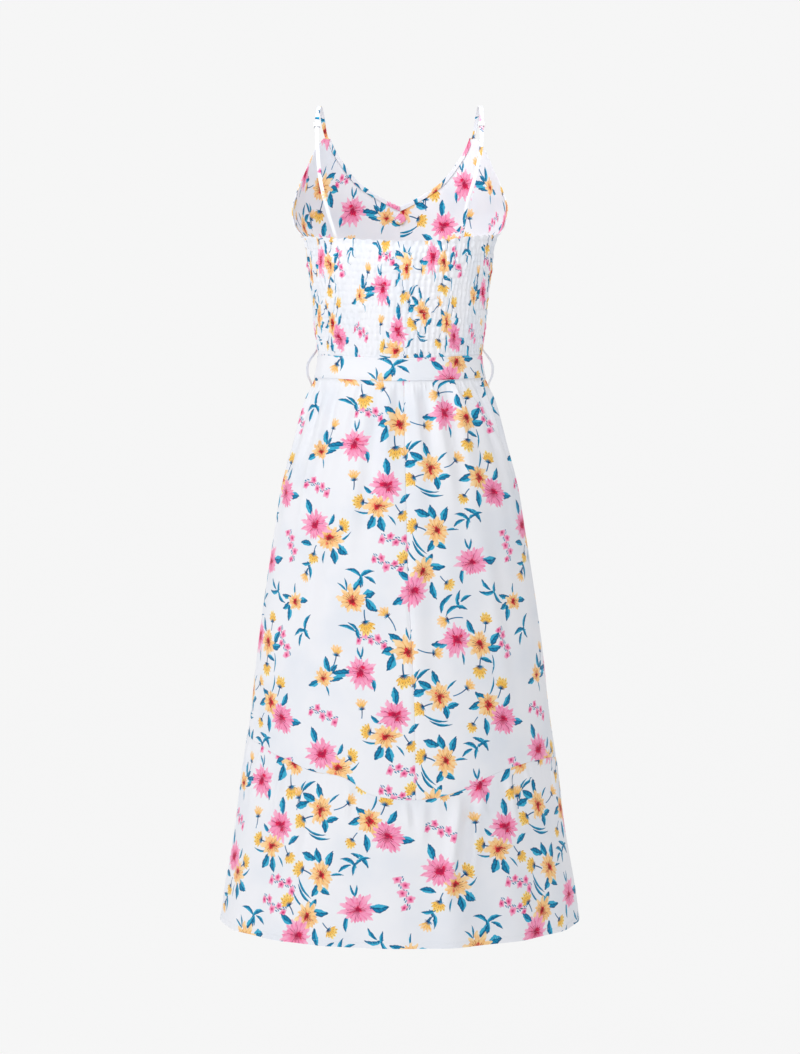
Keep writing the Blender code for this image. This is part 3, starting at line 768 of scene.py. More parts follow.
# %% The print and the weave
GOLD = {
    "Petals": 10.0,
    "Petal": srgb(254, 208, 142),
    "Tip": srgb(255, 226, 180),
    "Shade": srgb(244, 172, 94),
    "Heart": srgb(238, 40, 62),
    "Line": srgb(110, 24, 26),
}
PINK = {
    "Petals": 13.0,
    "Petal": srgb(251, 156, 194),
    "Tip": srgb(254, 190, 216),
    "Shade": srgb(242, 110, 162),
    "Heart": srgb(234, 26, 84),
    "Line": srgb(150, 16, 64),
}
WHITE = srgb(242, 243, 248)
SHADED_WHITE = srgb(232, 236, 244)
THREADS = 1100.0
MATT = {"Sheen Roughness": 0.45, "Specular IOR Level": 0.3}


def print_group():
    tree, _ = start_group("print", {}, {"Colour": "Color", "Dye": "Float"})
    colour, dye = None, None
    kinds = ("sprig", SPRIG, {}), ("leaf_b", LEAF, {}), ("leaf_a", LEAF, {}), ("bud", BUD, {})
    for kind, group, values in (*kinds, ("gold", DAISY, GOLD), ("pink", DAISY, PINK)):
        place = node(tree, "ShaderNodeAttribute", output="Vector", attribute_name="print_" + kind)
        drawn = node(tree, "ShaderNodeGroup", node_tree=group).socket.node
        tree.links.new(place.socket, drawn.inputs["Place"])
        for label, value in values.items():
            drawn.inputs[label].default_value = value if label == "Petals" else (*value, 1.0)
        mask = Term(tree, drawn.outputs["Mask"])
        colour = mix(mask, WHITE if colour is None else colour, Term(tree, drawn.outputs["Colour"]))
        dye = mask if dye is None else maths("MAXIMUM", dye, mask)
    return finish_group(tree, Colour=colour, Dye=dye)


def weave_group():
    """The height of a plain weave, from where the cloth lay flat, and a soft unevenness of its white."""
    tree, _ = start_group("weave", {}, {"Height": "Float", "Soft": "Float"})
    flat = node(tree, "ShaderNodeUVMap", uv_map="Cloth")
    s, t, _ = split(flat)
    threads = maths("SINE", s * (THREADS * FULL_TURN)) * maths("SINE", t * (THREADS * FULL_TURN))
    slub = noise(join(s * 2.2, t * 0.5), 900.0, 3.0)
    return finish_group(tree, Height=threads * 0.5 + slub * 0.8, Soft=noise(flat, 9.0, 3.0))


PRINT = print_group()
WEAVE = weave_group()


def matt_material(name, roughness, sheen, height, strength, distance):
    """A matt surface with a faint sheen and a bump. Gives the material, its tree and its shader node."""
    looks = {"Roughness": roughness, "Sheen Weight": sheen}
    made, tree, shader = new_material(name, looks | MATT)
    bump = node(tree, "ShaderNodeBump", {"Strength": strength, "Distance": distance, "Height": height(tree)})
    tree.links.new(bump.socket, shader.inputs["Normal"])
    return made, tree, shader


def woven(tree):
    return node(tree, "ShaderNodeGroup", node_tree=WEAVE)


def cloth_material(name, roughness, thread_height):
    """Printed cloth: the print over an uneven white, and the weave."""
    made, tree, shader = matt_material(name, roughness, 0.1, woven, 0.35, thread_height)
    printed = node(tree, "ShaderNodeGroup", node_tree=PRINT).socket.node
    soft = node(tree, "ShaderNodeGroup", output="Soft", node_tree=WEAVE)
    colour = Term(tree, printed.outputs["Colour"])
    bare = ramp(soft, -0.10, 0.20) * (1.0 - Term(tree, printed.outputs["Dye"]))
    tree.links.new(mix(bare, colour, SHADED_WHITE).socket, shader.inputs["Base Color"])
    return made


PRINTED = cloth_material("printed cloth", 0.82, 0.00006)
SMOCKED = cloth_material("smocked cloth", 0.86, 0.00006)
TRIM = cloth_material("printed trim", 0.80, 0.00008)

# %% [markdown]
# ## A sheet of cloth
# Every panel is a grid of points, worked out by a formula and turned into a mesh. The grid is the outside
# of the cloth. Solidify gives it a thickness inwards and closes its edges, as on the real cloth, so the
# sheet can be seen from inside too. The flat place of each point goes into the Cloth UV map.


# %% Make a sheet
PIECES = {}
SMOOTH_UNDER = 55
DOWN_THE_CLOTH = -1.02


def add_mesh(name, points, faces, flat=None):
    """Makes a mesh object and selects only it. Flat gives each point's place on the flat cloth."""
    mesh = bpy.data.meshes.new(name)
    mesh.from_pydata(points.reshape(-1, 3).tolist(), [], faces)
    if flat is not None:
        places = flat.reshape(-1, 2)[np.concatenate(faces)]
        mesh.uv_layers.new(name="Cloth").data.foreach_set("uv", places.ravel())
    piece = bpy.data.objects.new(name, mesh)
    bpy.context.collection.objects.link(piece)
    bpy.ops.object.select_all(action="DESELECT")
    piece.select_set(True)
    bpy.context.view_layer.objects.active = piece
    return piece


def area_of(piece):
    return sum(face.area for face in piece.data.polygons)


def finish_cloth(node_name, piece, area, material, smooth_under=SMOOTH_UNDER):
    """Smooths a piece, gives it its cloth and its print, and keeps it by its node's name."""
    bpy.ops.object.shade_smooth_by_angle(angle=math.radians(smooth_under))
    piece.data.materials.append(material)
    print_cloth(piece)
    PIECES[node_name] = piece
    print(piece.name, "faces:", len(piece.data.polygons), "area:", round(area, 5))


def sheet(node_name, points, flat, material, wall=CLOTH_WALL):
    """Makes a sheet from rows of points that run to the right and down, seen from outside."""
    index = np.arange(points[..., 0].size).reshape(points.shape[:2])
    quads = np.stack([index[:-1, :-1], index[1:, :-1], index[1:, 1:], index[:-1, 1:]], axis=-1)
    piece = add_mesh(node_name + "_cloth", points, quads.reshape(-1, 4).tolist(), flat)
    area = area_of(piece)
    solidify = piece.modifiers.new("wall", "SOLIDIFY")
    solidify.thickness = wall
    solidify.offset = -1.0
    bpy.ops.object.modifier_apply(modifier="wall")
    finish_cloth(node_name, piece, area, material)


def run_along(points, from_column=0):
    """The distance along each row of points, from one of its columns."""
    steps = np.linalg.norm(np.diff(points, axis=1), axis=-1)
    run = np.concatenate([np.zeros((len(points), 1)), np.cumsum(steps, axis=1)], axis=1)
    return run - run[:, [from_column]]


def flat_places(run, height, print_from):
    """Places on the flat cloth. The cloth slants a little, so it is longer than it is tall."""
    places = run + print_from[0], DOWN_THE_CLOTH * height + print_from[1]
    return np.stack(np.broadcast_arrays(*places), axis=-1)


print("a sheet is", CLOTH_WALL * 1000, "mm thick")

# %% [markdown]
# ## Gathers and creases
# Where the wide skirt is sewn to the narrow waist, the cloth is gathered: a crest about every fifteen
# degrees, each of its own height, fading out down the skirt. Below them run a few long soft creases, set
# where the photograph shows them, with others like them on the front. A crease is a ridge with a
# shallow trough beside it, and it fades in and out along its length.

# %% The skirt's gathers and creases
GATHER_TURN = 15.0
GATHER_HEIGHT = 0.0046
GATHER_UNEVEN = 0.45
GATHER_FADE = (
    # share_of_the_length_below_the_belt, gather_share
    (0.000, 0.00),
    (0.022, 0.40),
    (0.055, 0.95),
    (0.105, 1.00),
    (0.190, 0.74),
    (0.285, 0.46),
    (0.400, 0.28),
    (0.540, 0.14),
    (0.690, 0.06),
    (0.850, 0.00),
    (1.000, 0.00),
)
SKIRT_CREASES = (
    # from_angle, from_height, to_angle, to_height, breadth, rise
    (41, -0.395, 37, -0.640, 0.0070, 0.0026),
    (29, -0.400, 22, -0.560, 0.0060, 0.0020),
    (60, -0.395, 58, -0.500, 0.0050, 0.0022),
    (71, -0.395, 66, -0.700, 0.0100, 0.0024),
    (84, -0.398, 82, -0.520, 0.0050, 0.0018),
    (99, -0.400, 103, -0.560, 0.0060, 0.0016),
    (111, -0.398, 117, -0.610, 0.0090, 0.0022),
    (124, -0.398, 138, -0.480, 0.0050, 0.0024),
    (133, -0.396, 150, -0.470, 0.0045, 0.0022),
    (142, -0.398, 160, -0.520, 0.0060, 0.0022),
    (154, -0.400, 168, -0.600, 0.0080, 0.0020),
    (52, -0.560, 46, -0.900, 0.0140, 0.0022),
    (95, -0.600, 98, -0.930, 0.0130, 0.0016),
    (130, -0.600, 135, -0.900, 0.0130, 0.0020),
    (200, -0.398, 204, -0.560, 0.0070, 0.0024),
    (222, -0.398, 219, -0.680, 0.0090, 0.0026),
    (243, -0.398, 246, -0.530, 0.0060, 0.0020),
    (262, -0.400, 260, -0.720, 0.0110, 0.0026),
    (284, -0.398, 288, -0.590, 0.0070, 0.0022),
    (303, -0.398, 300, -0.500, 0.0050, 0.0020),
    (325, -0.398, 331, -0.640, 0.0090, 0.0026),
    (345, -0.400, 349, -0.540, 0.0060, 0.0020),
)

CREASE_STRENGTH = 1.7
TROUGH_SHARE = 0.45
TROUGH_AWAY = 1.9
CREASE_FADES_IN = 0.22
CREASE_FADES_OUT = 0.5
FINE_GATHER = 0.0016
GROOVE_DEPTH = 0.0007
GROOVE_BREADTH = 0.0022
PUCKER_HEIGHT = 0.00035
PUCKER_REACH = 0.010


def shorter_way(angle):
    """An angle in degrees, from -180 to 180."""
    return (angle + 180) % 360 - 180


def crease_lift(creases, angle, height):
    """How far long creases stand out."""
    lift = np.zeros(np.broadcast(angle, height).shape)
    for from_angle, from_height, to_angle, to_height, breadth, rise in creases:
        share = (height - from_height) / (to_height - from_height)
        middle = from_angle + (to_angle - from_angle) * share
        away = np.radians(shorter_way(angle - middle)) * read(BODY, height, 1) / breadth
        ridge = bell(away) - TROUGH_SHARE * bell(away - TROUGH_AWAY)
        ends = step(share / CREASE_FADES_IN) * step((1 - share) / CREASE_FADES_OUT)
        lift += CREASE_STRENGTH * rise * ridge * ends
    return lift


def gather_lift(angle, share):
    """How far the gathers stand out, at a share of the way down the skirt."""
    drift = angle + 1.8 * np.sin(np.radians(angle * 7)) * step(share * 3)
    crest = np.sin(math.pi * drift / GATHER_TURN) ** 2
    own = 1.0 + GATHER_UNEVEN * np.sin(2.4 * np.floor(drift / GATHER_TURN) + 1.1)
    fine = FINE_GATHER * wander(angle * 0.9, 2.0) * np.exp(-share / 0.07) * step(share / 0.01)
    return GATHER_HEIGHT * own * crest * read(GATHER_FADE, share) + fine


def seam_pull(distance, along, seed, depth=GROOVE_DEPTH):
    """A sewn edge: a narrow groove, and small puckers that fade out beside it."""
    pucker = PUCKER_HEIGHT * wander(along * 190, seed) * bell(distance / PUCKER_REACH)
    return pucker * step(distance / 0.002) - depth * bell(distance / GROOVE_BREADTH)


print("creases on the skirt:", len(SKIRT_CREASES))

# %% [markdown]
# ## The skirt
# The skirt has a seam down the centre back, where the print is cut, and one wide panel in front. Each panel
# runs from under the belt to the slanting seam. The two back panels start at other places in the repeat.

# %% Make the skirt
TIER_SEAM = (
    # angle, height
    (0.0, -0.8985),
    (26.0, -0.9092),
    (37.5, -0.9199),
    (46.0, -0.9263),
    (57.0, -0.9393),
    (70.0, -0.9462),
    (79.0, -0.9668),
    (86.0, -0.9730),
    (95.0, -0.9753),
    (103.5, -0.9718),
    (112.5, -0.9624),
    (124.0, -0.9454),
    (135.5, -0.9352),
    (146.0, -0.9312),
    (160.0, -0.9300),
    (180.0, -0.9330),
    (225.0, -0.9220),
    (270.0, -0.8970),
    (315.0, -0.8820),
    (360.0, -0.8985),
)
BACK_SEAM = (
    # height, angle
    (-0.390, 92.6),
    (-0.470, 92.4),
    (-0.670, 93.3),
    (-0.775, 94.6),
    (-0.860, 95.3),
    (-0.990, 95.3),
)
UNDER_BELT = 0.0100
MOST_LIFT = 0.0085
FLAT_AT_SIDE = 0.004
TIER_GROOVE = 0.0005
# Turns an angle into metres along the slanting seam.
SEAM_RADIUS = 0.21


def gap_at_edges(points):
    """Moves the first and last column of a panel a hair inwards, clear of the next panel."""
    for edge, inner in ((0, 1), (-1, -2)):
        points[:, edge] += direction(points[:, inner] - points[:, edge]) * SEAM_GAP / 2
    return points


def edge_distance(angle, height, first, last):
    """How far in metres a place is from the nearer side seam of its panel."""
    return np.radians(np.minimum(angle - first, last - angle)) * read(BODY, height, 1)


def panel(node_name, angle, height, lift, print_from, from_column):
    """A printed sheet on the body's form, with the print's place given for one of its columns."""
    points = gap_at_edges(body(angle, height, lift))
    flat = flat_places(run_along(points, from_column), height, print_from)
    sheet(node_name, points, flat, PRINTED)


def skirt_panel(node_name, first, last, columns, rows, *print_place):
    """A panel of the skirt between two angles. An edge at the centre back follows its wandering seam."""
    straight = np.linspace(first, last, columns)[None, :]
    follows = np.linspace(float(first == 90), float(last == 90), columns)[None, :]
    down = np.linspace(0.0, 1.0, rows)[:, None]
    angle = straight + 0 * down
    for _ in range(4):
        top = waist_height(angle) - BELT_FALL
        low = read(TIER_SEAM, angle) + SEAM_GAP / 2
        above = UNDER_BELT / (top - low)
        share = down * (1 + above) - above
        height = top + (low - top) * share
        drift = read(BACK_SEAM, height) - 90
        angle = straight + drift * follows
    lift = gather_lift(angle, np.maximum(share, 0.0)) + crease_lift(SKIRT_CREASES, angle, height)
    side = edge_distance(angle, height, first + drift * (first == 90), last + drift * (last == 90))
    lift = lift * step(side / FLAT_AT_SIDE) + seam_pull(side, height, 2.0)
    lift += seam_pull(height - low, np.radians(angle) * SEAM_RADIUS, 3.0, TIER_GROOVE)
    lift = np.minimum(lift, MOST_LIFT) * step((share + above) / above)
    panel(node_name, angle, height, lift, *print_place)


skirt_panel("skirt_back_left", 0, 90, 92, 160, (0.171, -0.117), -1)
skirt_panel("skirt_back_right", 90, 180, 92, 160, (0.175, -0.117), 0)
skirt_panel("skirt_front", 180, 360, 184, 150, (0.060, 0.110), 92)

# %% [markdown]
# ## The flounce
# A deeper band of cloth, gathered a little onto the slanting seam, falls to the hem in broad waves. The
# waves grow from nothing at the seam. Short creases start at the seam where the cloth is drawn in. The hem
# is turned up and stitched, so the cloth is a hair thicker below the stitching.

# %% Make the flounce
HEM = -1.1610
HEM_DROP = 0.0105
HEM_TURNED = 0.0075
HEM_ROWS = 10
HEM_ROWS_FROM = 1.6 * HEM_TURNED
FLOUNCE_FOLDS = (
    # angle, breadth, height, lean
    (8.0, 9.0, 0.0040, 2.0),
    (30.0, 8.0, 0.0052, -3.0),
    (52.0, 7.0, 0.0040, -4.0),
    (67.0, 6.0, 0.0028, -2.0),
    (88.0, 9.0, 0.0022, 1.0),
    (111.0, 6.5, 0.0068, -5.0),
    (127.0, 7.0, 0.0038, 3.0),
    (148.0, 8.0, 0.0046, 4.0),
    (172.0, 9.0, 0.0038, -2.0),
    (197.0, 8.0, 0.0048, 3.0),
    (219.0, 7.5, 0.0056, -2.0),
    (243.0, 9.0, 0.0042, 4.0),
    (268.0, 8.0, 0.0058, -3.0),
    (292.0, 9.0, 0.0044, 2.0),
    (315.0, 7.5, 0.0054, -3.0),
    (338.0, 8.0, 0.0042, 3.0),
)
FLOUNCE_CREASES = (
    # from_angle, from_height, to_angle, to_height, breadth, rise
    (111, -0.965, 103, -1.140, 0.0080, 0.0050),
    (116, -0.965, 110, -1.120, 0.0060, -0.0028),
    (56, -0.938, 51, -1.100, 0.0070, 0.0026),
    (44, -0.925, 40, -1.060, 0.0060, 0.0022),
    (73, -0.955, 71, -1.010, 0.0040, 0.0018),
    (92, -0.975, 93, -1.020, 0.0035, 0.0020),
    (98, -0.974, 97, -1.050, 0.0060, 0.0014),
    (118, -0.955, 121, -1.010, 0.0045, 0.0016),
    (131, -0.938, 134, -1.040, 0.0055, 0.0022),
    (140, -0.932, 144, -1.000, 0.0050, 0.0018),
    (28, -0.910, 24, -1.020, 0.0055, 0.0020),
    (15, -0.902, 12, -0.990, 0.0050, 0.0016),
    (160, -0.930, 165, -1.020, 0.0060, 0.0018),
    (192, -0.932, 190, -1.030, 0.0060, 0.0022),
    (214, -0.925, 217, -1.080, 0.0070, 0.0026),
    (236, -0.916, 233, -1.000, 0.0050, 0.0018),
    (255, -0.905, 258, -1.060, 0.0070, 0.0024),
    (277, -0.894, 274, -0.980, 0.0050, 0.0018),
    (301, -0.886, 304, -1.050, 0.0070, 0.0026),
    (327, -0.882, 324, -0.970, 0.0050, 0.0020),
    (348, -0.890, 351, -1.010, 0.0060, 0.0020),
)
FOLD_STRENGTH = 1.2
FINE_FOLD = 0.0007
TURNED_RISE = 0.00035
TURNED_GROOVE = 0.0004


def fold_lift(angle, share):
    """How far the flounce's waves stand out, none at the seam and all at the hem."""
    lift = np.zeros(np.broadcast(angle, share).shape)
    for at, breadth, height, lean in FLOUNCE_FOLDS:
        lift += height * bell(shorter_way(angle - at - lean * share) / breadth)
    return FOLD_STRENGTH * lift * step(share * 1.15)


def hem_height(angle):
    return HEM - HEM_DROP * np.maximum(0.0, np.sin(np.radians(angle)))


def turned_edge(distance, turned, rise):
    """A turned edge: the cloth stands out as far as it is turned, with a groove along the stitches."""
    raised = rise * step((turned - distance) / 0.0008)
    return raised - TURNED_GROOVE * bell((distance - turned) / 0.0009)


def flounce_lift(angle, height, share):
    lift = fold_lift(angle, share) + crease_lift(FLOUNCE_CREASES, angle, height)
    lift += FINE_FOLD * wander(angle * 0.55, 5.0) * np.exp(-share / 0.16) * step(share / 0.04)
    lift += seam_pull(read(TIER_SEAM, angle) - height, np.radians(angle) * SEAM_RADIUS, 4.0)
    return lift + turned_edge(height - hem_height(angle), HEM_TURNED, TURNED_RISE)


def flounce_panel(node_name, first, last, columns, rows, *print_place):
    """A panel of the flounce between two angles. Its last rows are close together, for the hem."""
    angle = np.linspace(first, last, columns)[None, :]
    low = hem_height(angle)
    top = read(TIER_SEAM, angle) - SEAM_GAP / 2
    until = low + HEM_ROWS_FROM
    down = np.linspace(0.0, 1.0, rows)[:, None]
    hem_down = np.linspace(0.1, 1.0, HEM_ROWS)[:, None]
    height = np.concatenate([top + (until - top) * down, until + (low - until) * hem_down])
    angle = np.broadcast_to(angle, height.shape)
    lift = flounce_lift(angle, height, (top - height) / (top - low))
    lift += seam_pull(edge_distance(angle, height, first, last), height, first)
    panel(node_name, angle, height, lift, *print_place)


flounce_panel("flounce_back", 0.0, 180.0, 220, 58, (0.330, 0.046), 110)
flounce_panel("flounce_front", 180.0, 360.0, 220, 64, (0.030, 0.040), 110)

# %% [markdown]
# ## The smocked back
# Rows of elastic thread are sewn across the back while it is stretched. When they draw in, the cloth
# between two rows puffs out in small upright pleats that run on from row to row but never quite line up.
# The print is squeezed with it. Above the first row the cloth is free and stands up as a small frill.

# %% Make the smocked back
HEADER = 0.0075
ELASTIC_ROWS = 17
PLEATS = 46
PLEAT_HEIGHT = 0.0030
SQUEEZE = 2.3
BACK_WALL = 0.0008
FRILL_HEIGHT = 0.0008
# How far the cloth goes down behind the belt. Its pleats fade out there and at the side seams.
BEHIND_BELT = 0.004
FADE = 0.006
# The pleats stand less high on the first rows under the frill.
FIRST_ROWS = (0.5, 0.8, 0.95)
BACK_TOP = (
    # angle, height
    (0.0, -0.1883),
    (35.0, -0.1960),
    (62.0, -0.2020),
    (90.0, -0.2065),
    (118.0, -0.2030),
    (145.0, -0.1940),
    (180.0, -0.1845),
)


def pleat_at(angle, band):
    """Which pleat a place lies in, counted from the left side seam. Whole numbers are crests."""
    shift = 0.45 * wander(angle * 0.09 + band * 0.35, 1.0) + 0.16 * wander(band * 2.7, 4.0)
    return angle / 180 * PLEATS + shift


def smocking_lift(angle, down):
    """How far the puffs stand out. Down counts elastic rows."""
    band = np.floor(down)
    puff = np.abs(np.sin(math.pi * (down - band))) ** 0.7
    at = pleat_at(angle, band)
    pleat = 0.5 + 0.5 * np.cos(FULL_TURN * at)
    second = 0.5 + 0.5 * np.cos(FULL_TURN * (1.7 * at - 1.2 * angle / 180 * PLEATS + 0.2))
    own = 0.75 + 0.35 * wander(angle * 0.31 + band * 1.9, 2.5)
    raised = PLEAT_HEIGHT * own * (0.08 + 0.62 * pleat**1.3 + 0.30 * second)
    held = 0.46 * PLEAT_HEIGHT * pleat
    return raised * puff + held * (1 - puff)


def frill_wave(angle):
    """The header's broad waves, one for every two pleats."""
    return np.cos(FULL_TURN * (angle / 180 * PLEATS * 0.5 + 0.30 * wander(angle * 0.1, 6.0)))


def header_lift(angle, up):
    """The frill: waves that grow towards its free edge."""
    fine = np.cos(FULL_TURN * (angle / 180 * PLEATS + 0.2))
    return up * (0.0014 + 0.0013 * frill_wave(angle) + 0.0009 * fine)


def elastic_height(angle, row):
    """The height of a row of elastic, from 0 under the header to the one behind the belt."""
    top = read(BACK_TOP, angle) - HEADER
    low = waist_height(angle) + BELT_RISE - BEHIND_BELT
    return top + (low - top) * row / ELASTIC_ROWS


def smocked_back(columns=300, band_rows=7, header_rows=7):
    angle = np.linspace(0.0, 180.0, columns)[None, :]
    head = np.linspace(1.0, 0.0, header_rows, endpoint=False)[:, None]
    rows = np.linspace(0.0, ELASTIC_ROWS, ELASTIC_ROWS * band_rows + 1)[:, None]
    header = elastic_height(angle, 0) + (HEADER + FRILL_HEIGHT * frill_wave(angle) * head) * head
    height = np.concatenate([header, elastic_height(angle, rows)])
    angle = np.broadcast_to(angle, height.shape)
    lift = np.concatenate([header_lift(angle[:header_rows], head), smocking_lift(angle[header_rows:], rows)])
    lift[header_rows : header_rows + len(FIRST_ROWS)] *= np.array(FIRST_ROWS)[:, None]
    tuck = step((height - (waist_height(angle) + BELT_RISE - BEHIND_BELT / 2)) / FADE)
    side = edge_distance(angle, height, 0.0, 180.0)
    lift = lift * step(side / FADE) * tuck + seam_pull(side, height, 1.0)
    band = np.concatenate([np.zeros((header_rows, 1)), np.floor(rows)])
    at = pleat_at(angle, band) - PLEATS / 2
    hidden = (1 - 1 / SQUEEZE) * np.sin(FULL_TURN * at) / FULL_TURN
    pitch = run_along(body(angle, height))[:, -1:] * SQUEEZE / PLEATS
    flat = flat_places((at - hidden) * pitch, height, (0.148, 0.105))
    sheet("back_bodice", gap_at_edges(body(angle, height, lift)), flat, SMOCKED, BACK_WALL)


smocked_back()

# %% [markdown]
# ## The front
# Two panels meet at the centre in a V and rise to a point under each strap. Each starts from its top edge,
# which follows the neckline, the strap point and the armhole, and runs down to the waist. Only the inside
# of the front shows from behind, over the smocked back.

# %% Make the front
NECKLINE = (
    # from_centre, height
    (0.0000, -0.1305),
    (0.0123, -0.1250),
    (0.0270, -0.1175),
    (0.0418, -0.1095),
    (0.0535, -0.1025),
    (0.0643, -0.0940),
    (0.0725, -0.0853),
    (0.0798, -0.0765),
    (0.0870, -0.0668),
    (0.0930, -0.0585),
    (0.0985, -0.0490),
    (0.1030, -0.0385),
)
ARMHOLE = (
    # angle, height
    (-32.6, -0.0385),
    (-27.5, -0.0520),
    (-24.2, -0.0670),
    (-20.8, -0.0860),
    (-16.0, -0.1040),
    (-11.5, -0.1220),
    (-7.2, -0.1420),
    (-4.2, -0.1600),
    (-1.8, -0.1760),
    (0.0, -0.1880),
)
# On the way down, the columns of the strap point lean towards these two angles. At the waist, step() is
# this share of its way through.
STRAP_POINT_UNDER = (-47.0, -43.5)
LEAN_AT_WAIST = 9 / 11
FRONT_CREASES = (
    # from_angle, from_height, to_angle, to_height, breadth, rise
    (-78, -0.360, -66, -0.200, 0.0070, 0.0016),
    (-62, -0.360, -56, -0.230, 0.0060, 0.0014),
    (-46, -0.360, -44, -0.220, 0.0060, 0.0016),
    (-30, -0.360, -32, -0.250, 0.0060, 0.0012),
)
NECK_COLUMNS, POINT_COLUMNS, ARM_COLUMNS = 74, 4, 64
ARMHOLE_TURNED = 0.006
ARMHOLE_FROM = -32.7
ARMHOLE_RISE = 0.0003


def through_rows(table, share, column):
    """Reads a table at a share of the way through its rows."""
    counted = [(k / (len(table) - 1), *row) for k, row in enumerate(table)]
    return read(counted, share, column + 1)


def front_points(side, rows=86):
    """The outside of a front panel, in rows that run to the right and down."""
    neck = np.linspace(0.0, 1.0, NECK_COLUMNS)
    arm = np.linspace(0.0, 1.0, ARM_COLUMNS)
    point = np.linspace(0.0, 1.0, POINT_COLUMNS + 2)[1:-1]
    neck_height = through_rows(NECKLINE, neck, 1)
    from_centre = through_rows(NECKLINE, neck, 0) / read(BODY, neck_height, 1)
    neck_angle = -np.degrees(np.arccos(np.clip(from_centre, 0.0, 1.0)))
    armhole = (*ARMHOLE[:-1], (0.0, BACK_TOP[0 if side == "left" else -1][1]))
    arm_angle, arm_height = (through_rows(armhole, arm, column) for column in (0, 1))
    point_angle = neck_angle[-1] + (arm_angle[0] - neck_angle[-1]) * point
    angle = np.concatenate([neck_angle, point_angle, arm_angle])
    height = np.concatenate([neck_height, np.full(len(point), neck_height[-1]), arm_height])
    last_neck, first_arm = STRAP_POINT_UNDER
    under_neck = -90 + (last_neck + 90) * neck
    under_point = last_neck + (first_arm - last_neck) * point
    under = np.concatenate([under_neck, under_point, first_arm * (1 - arm)])
    down = np.linspace(0.0, 1.0, rows)[:, None]
    z = height + (WAIST + BELT_RISE - BEHIND_BELT - height) * down
    at = angle + (under - angle) * step(down * LEAN_AT_WAIST)
    lift = crease_lift(FRONT_CREASES, at, z) * step(down / 0.2)
    edge = np.linalg.norm(np.diff(body(at, z)[:2], axis=0), axis=-1) * down * (rows - 1)
    turned = np.where(angle > ARMHOLE_FROM, turned_edge(edge, ARMHOLE_TURNED, ARMHOLE_RISE), 0.0)
    side_seam = seam_pull(np.abs(np.radians(at) * read(BODY, z, 1)), z, 2.0)
    lift += (turned + side_seam) * (np.arange(len(angle)) >= NECK_COLUMNS)
    lift += seam_pull(np.abs(np.radians(at + 90) * read(BODY, z, 3)) + 0.0004, z, 2.5)
    points = gap_at_edges(body(at, z, lift))
    return points if side == "left" else points[:, ::-1] * [-1.0, 1.0, 1.0]


FRONTS = {}
for side, centre_column, print_from in (("left", 0, (0.016, -0.077)), ("right", -1, (0.216, -0.040))):
    points = front_points(side)
    FRONTS[side] = points
    flat = flat_places(run_along(points, centre_column), points[..., 2], print_from)
    sheet("front_bodice_" + side, points, flat, PRINTED)

# %% [markdown]
# ## The neck binding
# A strip cut on the slant of the cloth is folded over the raw edge of the neckline. Its profile goes down
# the inside, over the edge and down the outside. Since it is cut on the slant, its flat places are turned
# by 45 degrees in the print, and short pieces of flowers show along it.

# %% Bind the neckline
BINDING_WIDTH = 0.0048
BINDING_WALL = 0.0007
FRONT_WALL = 0.0014
LEGS = np.array([1.0, 0.85, 0.6, 0.35, 0.12])
OVER_THE_EDGE = np.linspace(0.0, 1.0, 9)


def from_the_v(side):
    """The points of a front panel, with its columns from the V to the side seam."""
    return FRONTS[side] if side == "left" else FRONTS[side][:, ::-1]


def places_along(at, run, points):
    """Places at distances along a line, from its own points and how far along it they are."""
    return np.stack([np.interp(at, run, points[:, k]) for k in range(3)], axis=-1)


def down_from_edge(points, distance):
    """The point at a distance down each column."""
    columns = points.swapaxes(0, 1)
    found = [places_along(distance, run, column) for run, column in zip(run_along(columns), columns)]
    return np.array(found)


def turned_flat(along, across, print_from):
    """Flat places of a strip that was cut on the slant of the cloth."""
    half = math.sqrt(0.5)
    return np.stack(
        [print_from[0] + half * (along + across), print_from[1] + half * (along - across)], axis=-1
    )


def outward_of(points):
    """The direction straight out of the cloth at the top of each column."""
    normal = direction(np.cross(np.gradient(points[0], axis=0), points[1] - points[0]))
    return normal * np.sign(np.sum(normal[:, :2] * points[0, :, :2], axis=-1, keepdims=True))


def neck_binding(side, print_from):
    points = from_the_v(side)[:, :NECK_COLUMNS]
    out = outward_of(points)
    down = direction(points[1] - points[0])
    edge = direction(np.gradient(points[0], axis=0))
    slant = np.linalg.norm(np.cross(edge, down), axis=-1)[:, None]
    far = SEAM_GAP + BINDING_WALL
    half_thick = far + FRONT_WALL / 2
    legs = [points[0] + (down_from_edge(points, BINDING_WIDTH * share) - points[0]) / slant for share in LEGS]
    rows = [leg + out * far for leg in legs]
    for turn in math.pi * OVER_THE_EDGE:
        lean = half_thick * math.cos(turn) - FRONT_WALL / 2
        rows.append(points[0] - down / slant * half_thick * math.sin(turn) * 0.9 + out * lean)
    rows += [leg - out * (FRONT_WALL + far) for leg in reversed(legs)]
    # The way round the edge, which is about half a circle.
    over = half_thick * 3
    across = np.concatenate([-BINDING_WIDTH * LEGS, over * OVER_THE_EDGE, over + BINDING_WIDTH * LEGS[::-1]])
    grid = np.array(rows) if side == "left" else np.array(rows)[:, ::-1]
    flat = turned_flat(run_along(grid[:1]), across[:, None], print_from)
    sheet("neck_binding_" + side, grid[::-1], flat[::-1], TRIM, BINDING_WALL)


neck_binding("left", (0.248, 0.236))
neck_binding("right", (0.268, 0.228))

# %% [markdown]
# ## The belt
# A flat sewn band lies over the waist seam, and its ends lie over each other at the centre front. It is
# stitched along both edges, which draws a shallow line there, and it ripples a little on its way round.

# %% Make the belt
BELT_WALL = 0.0013
BELT_LIFT = 0.0006
BELT_OVERLAP = 14.0
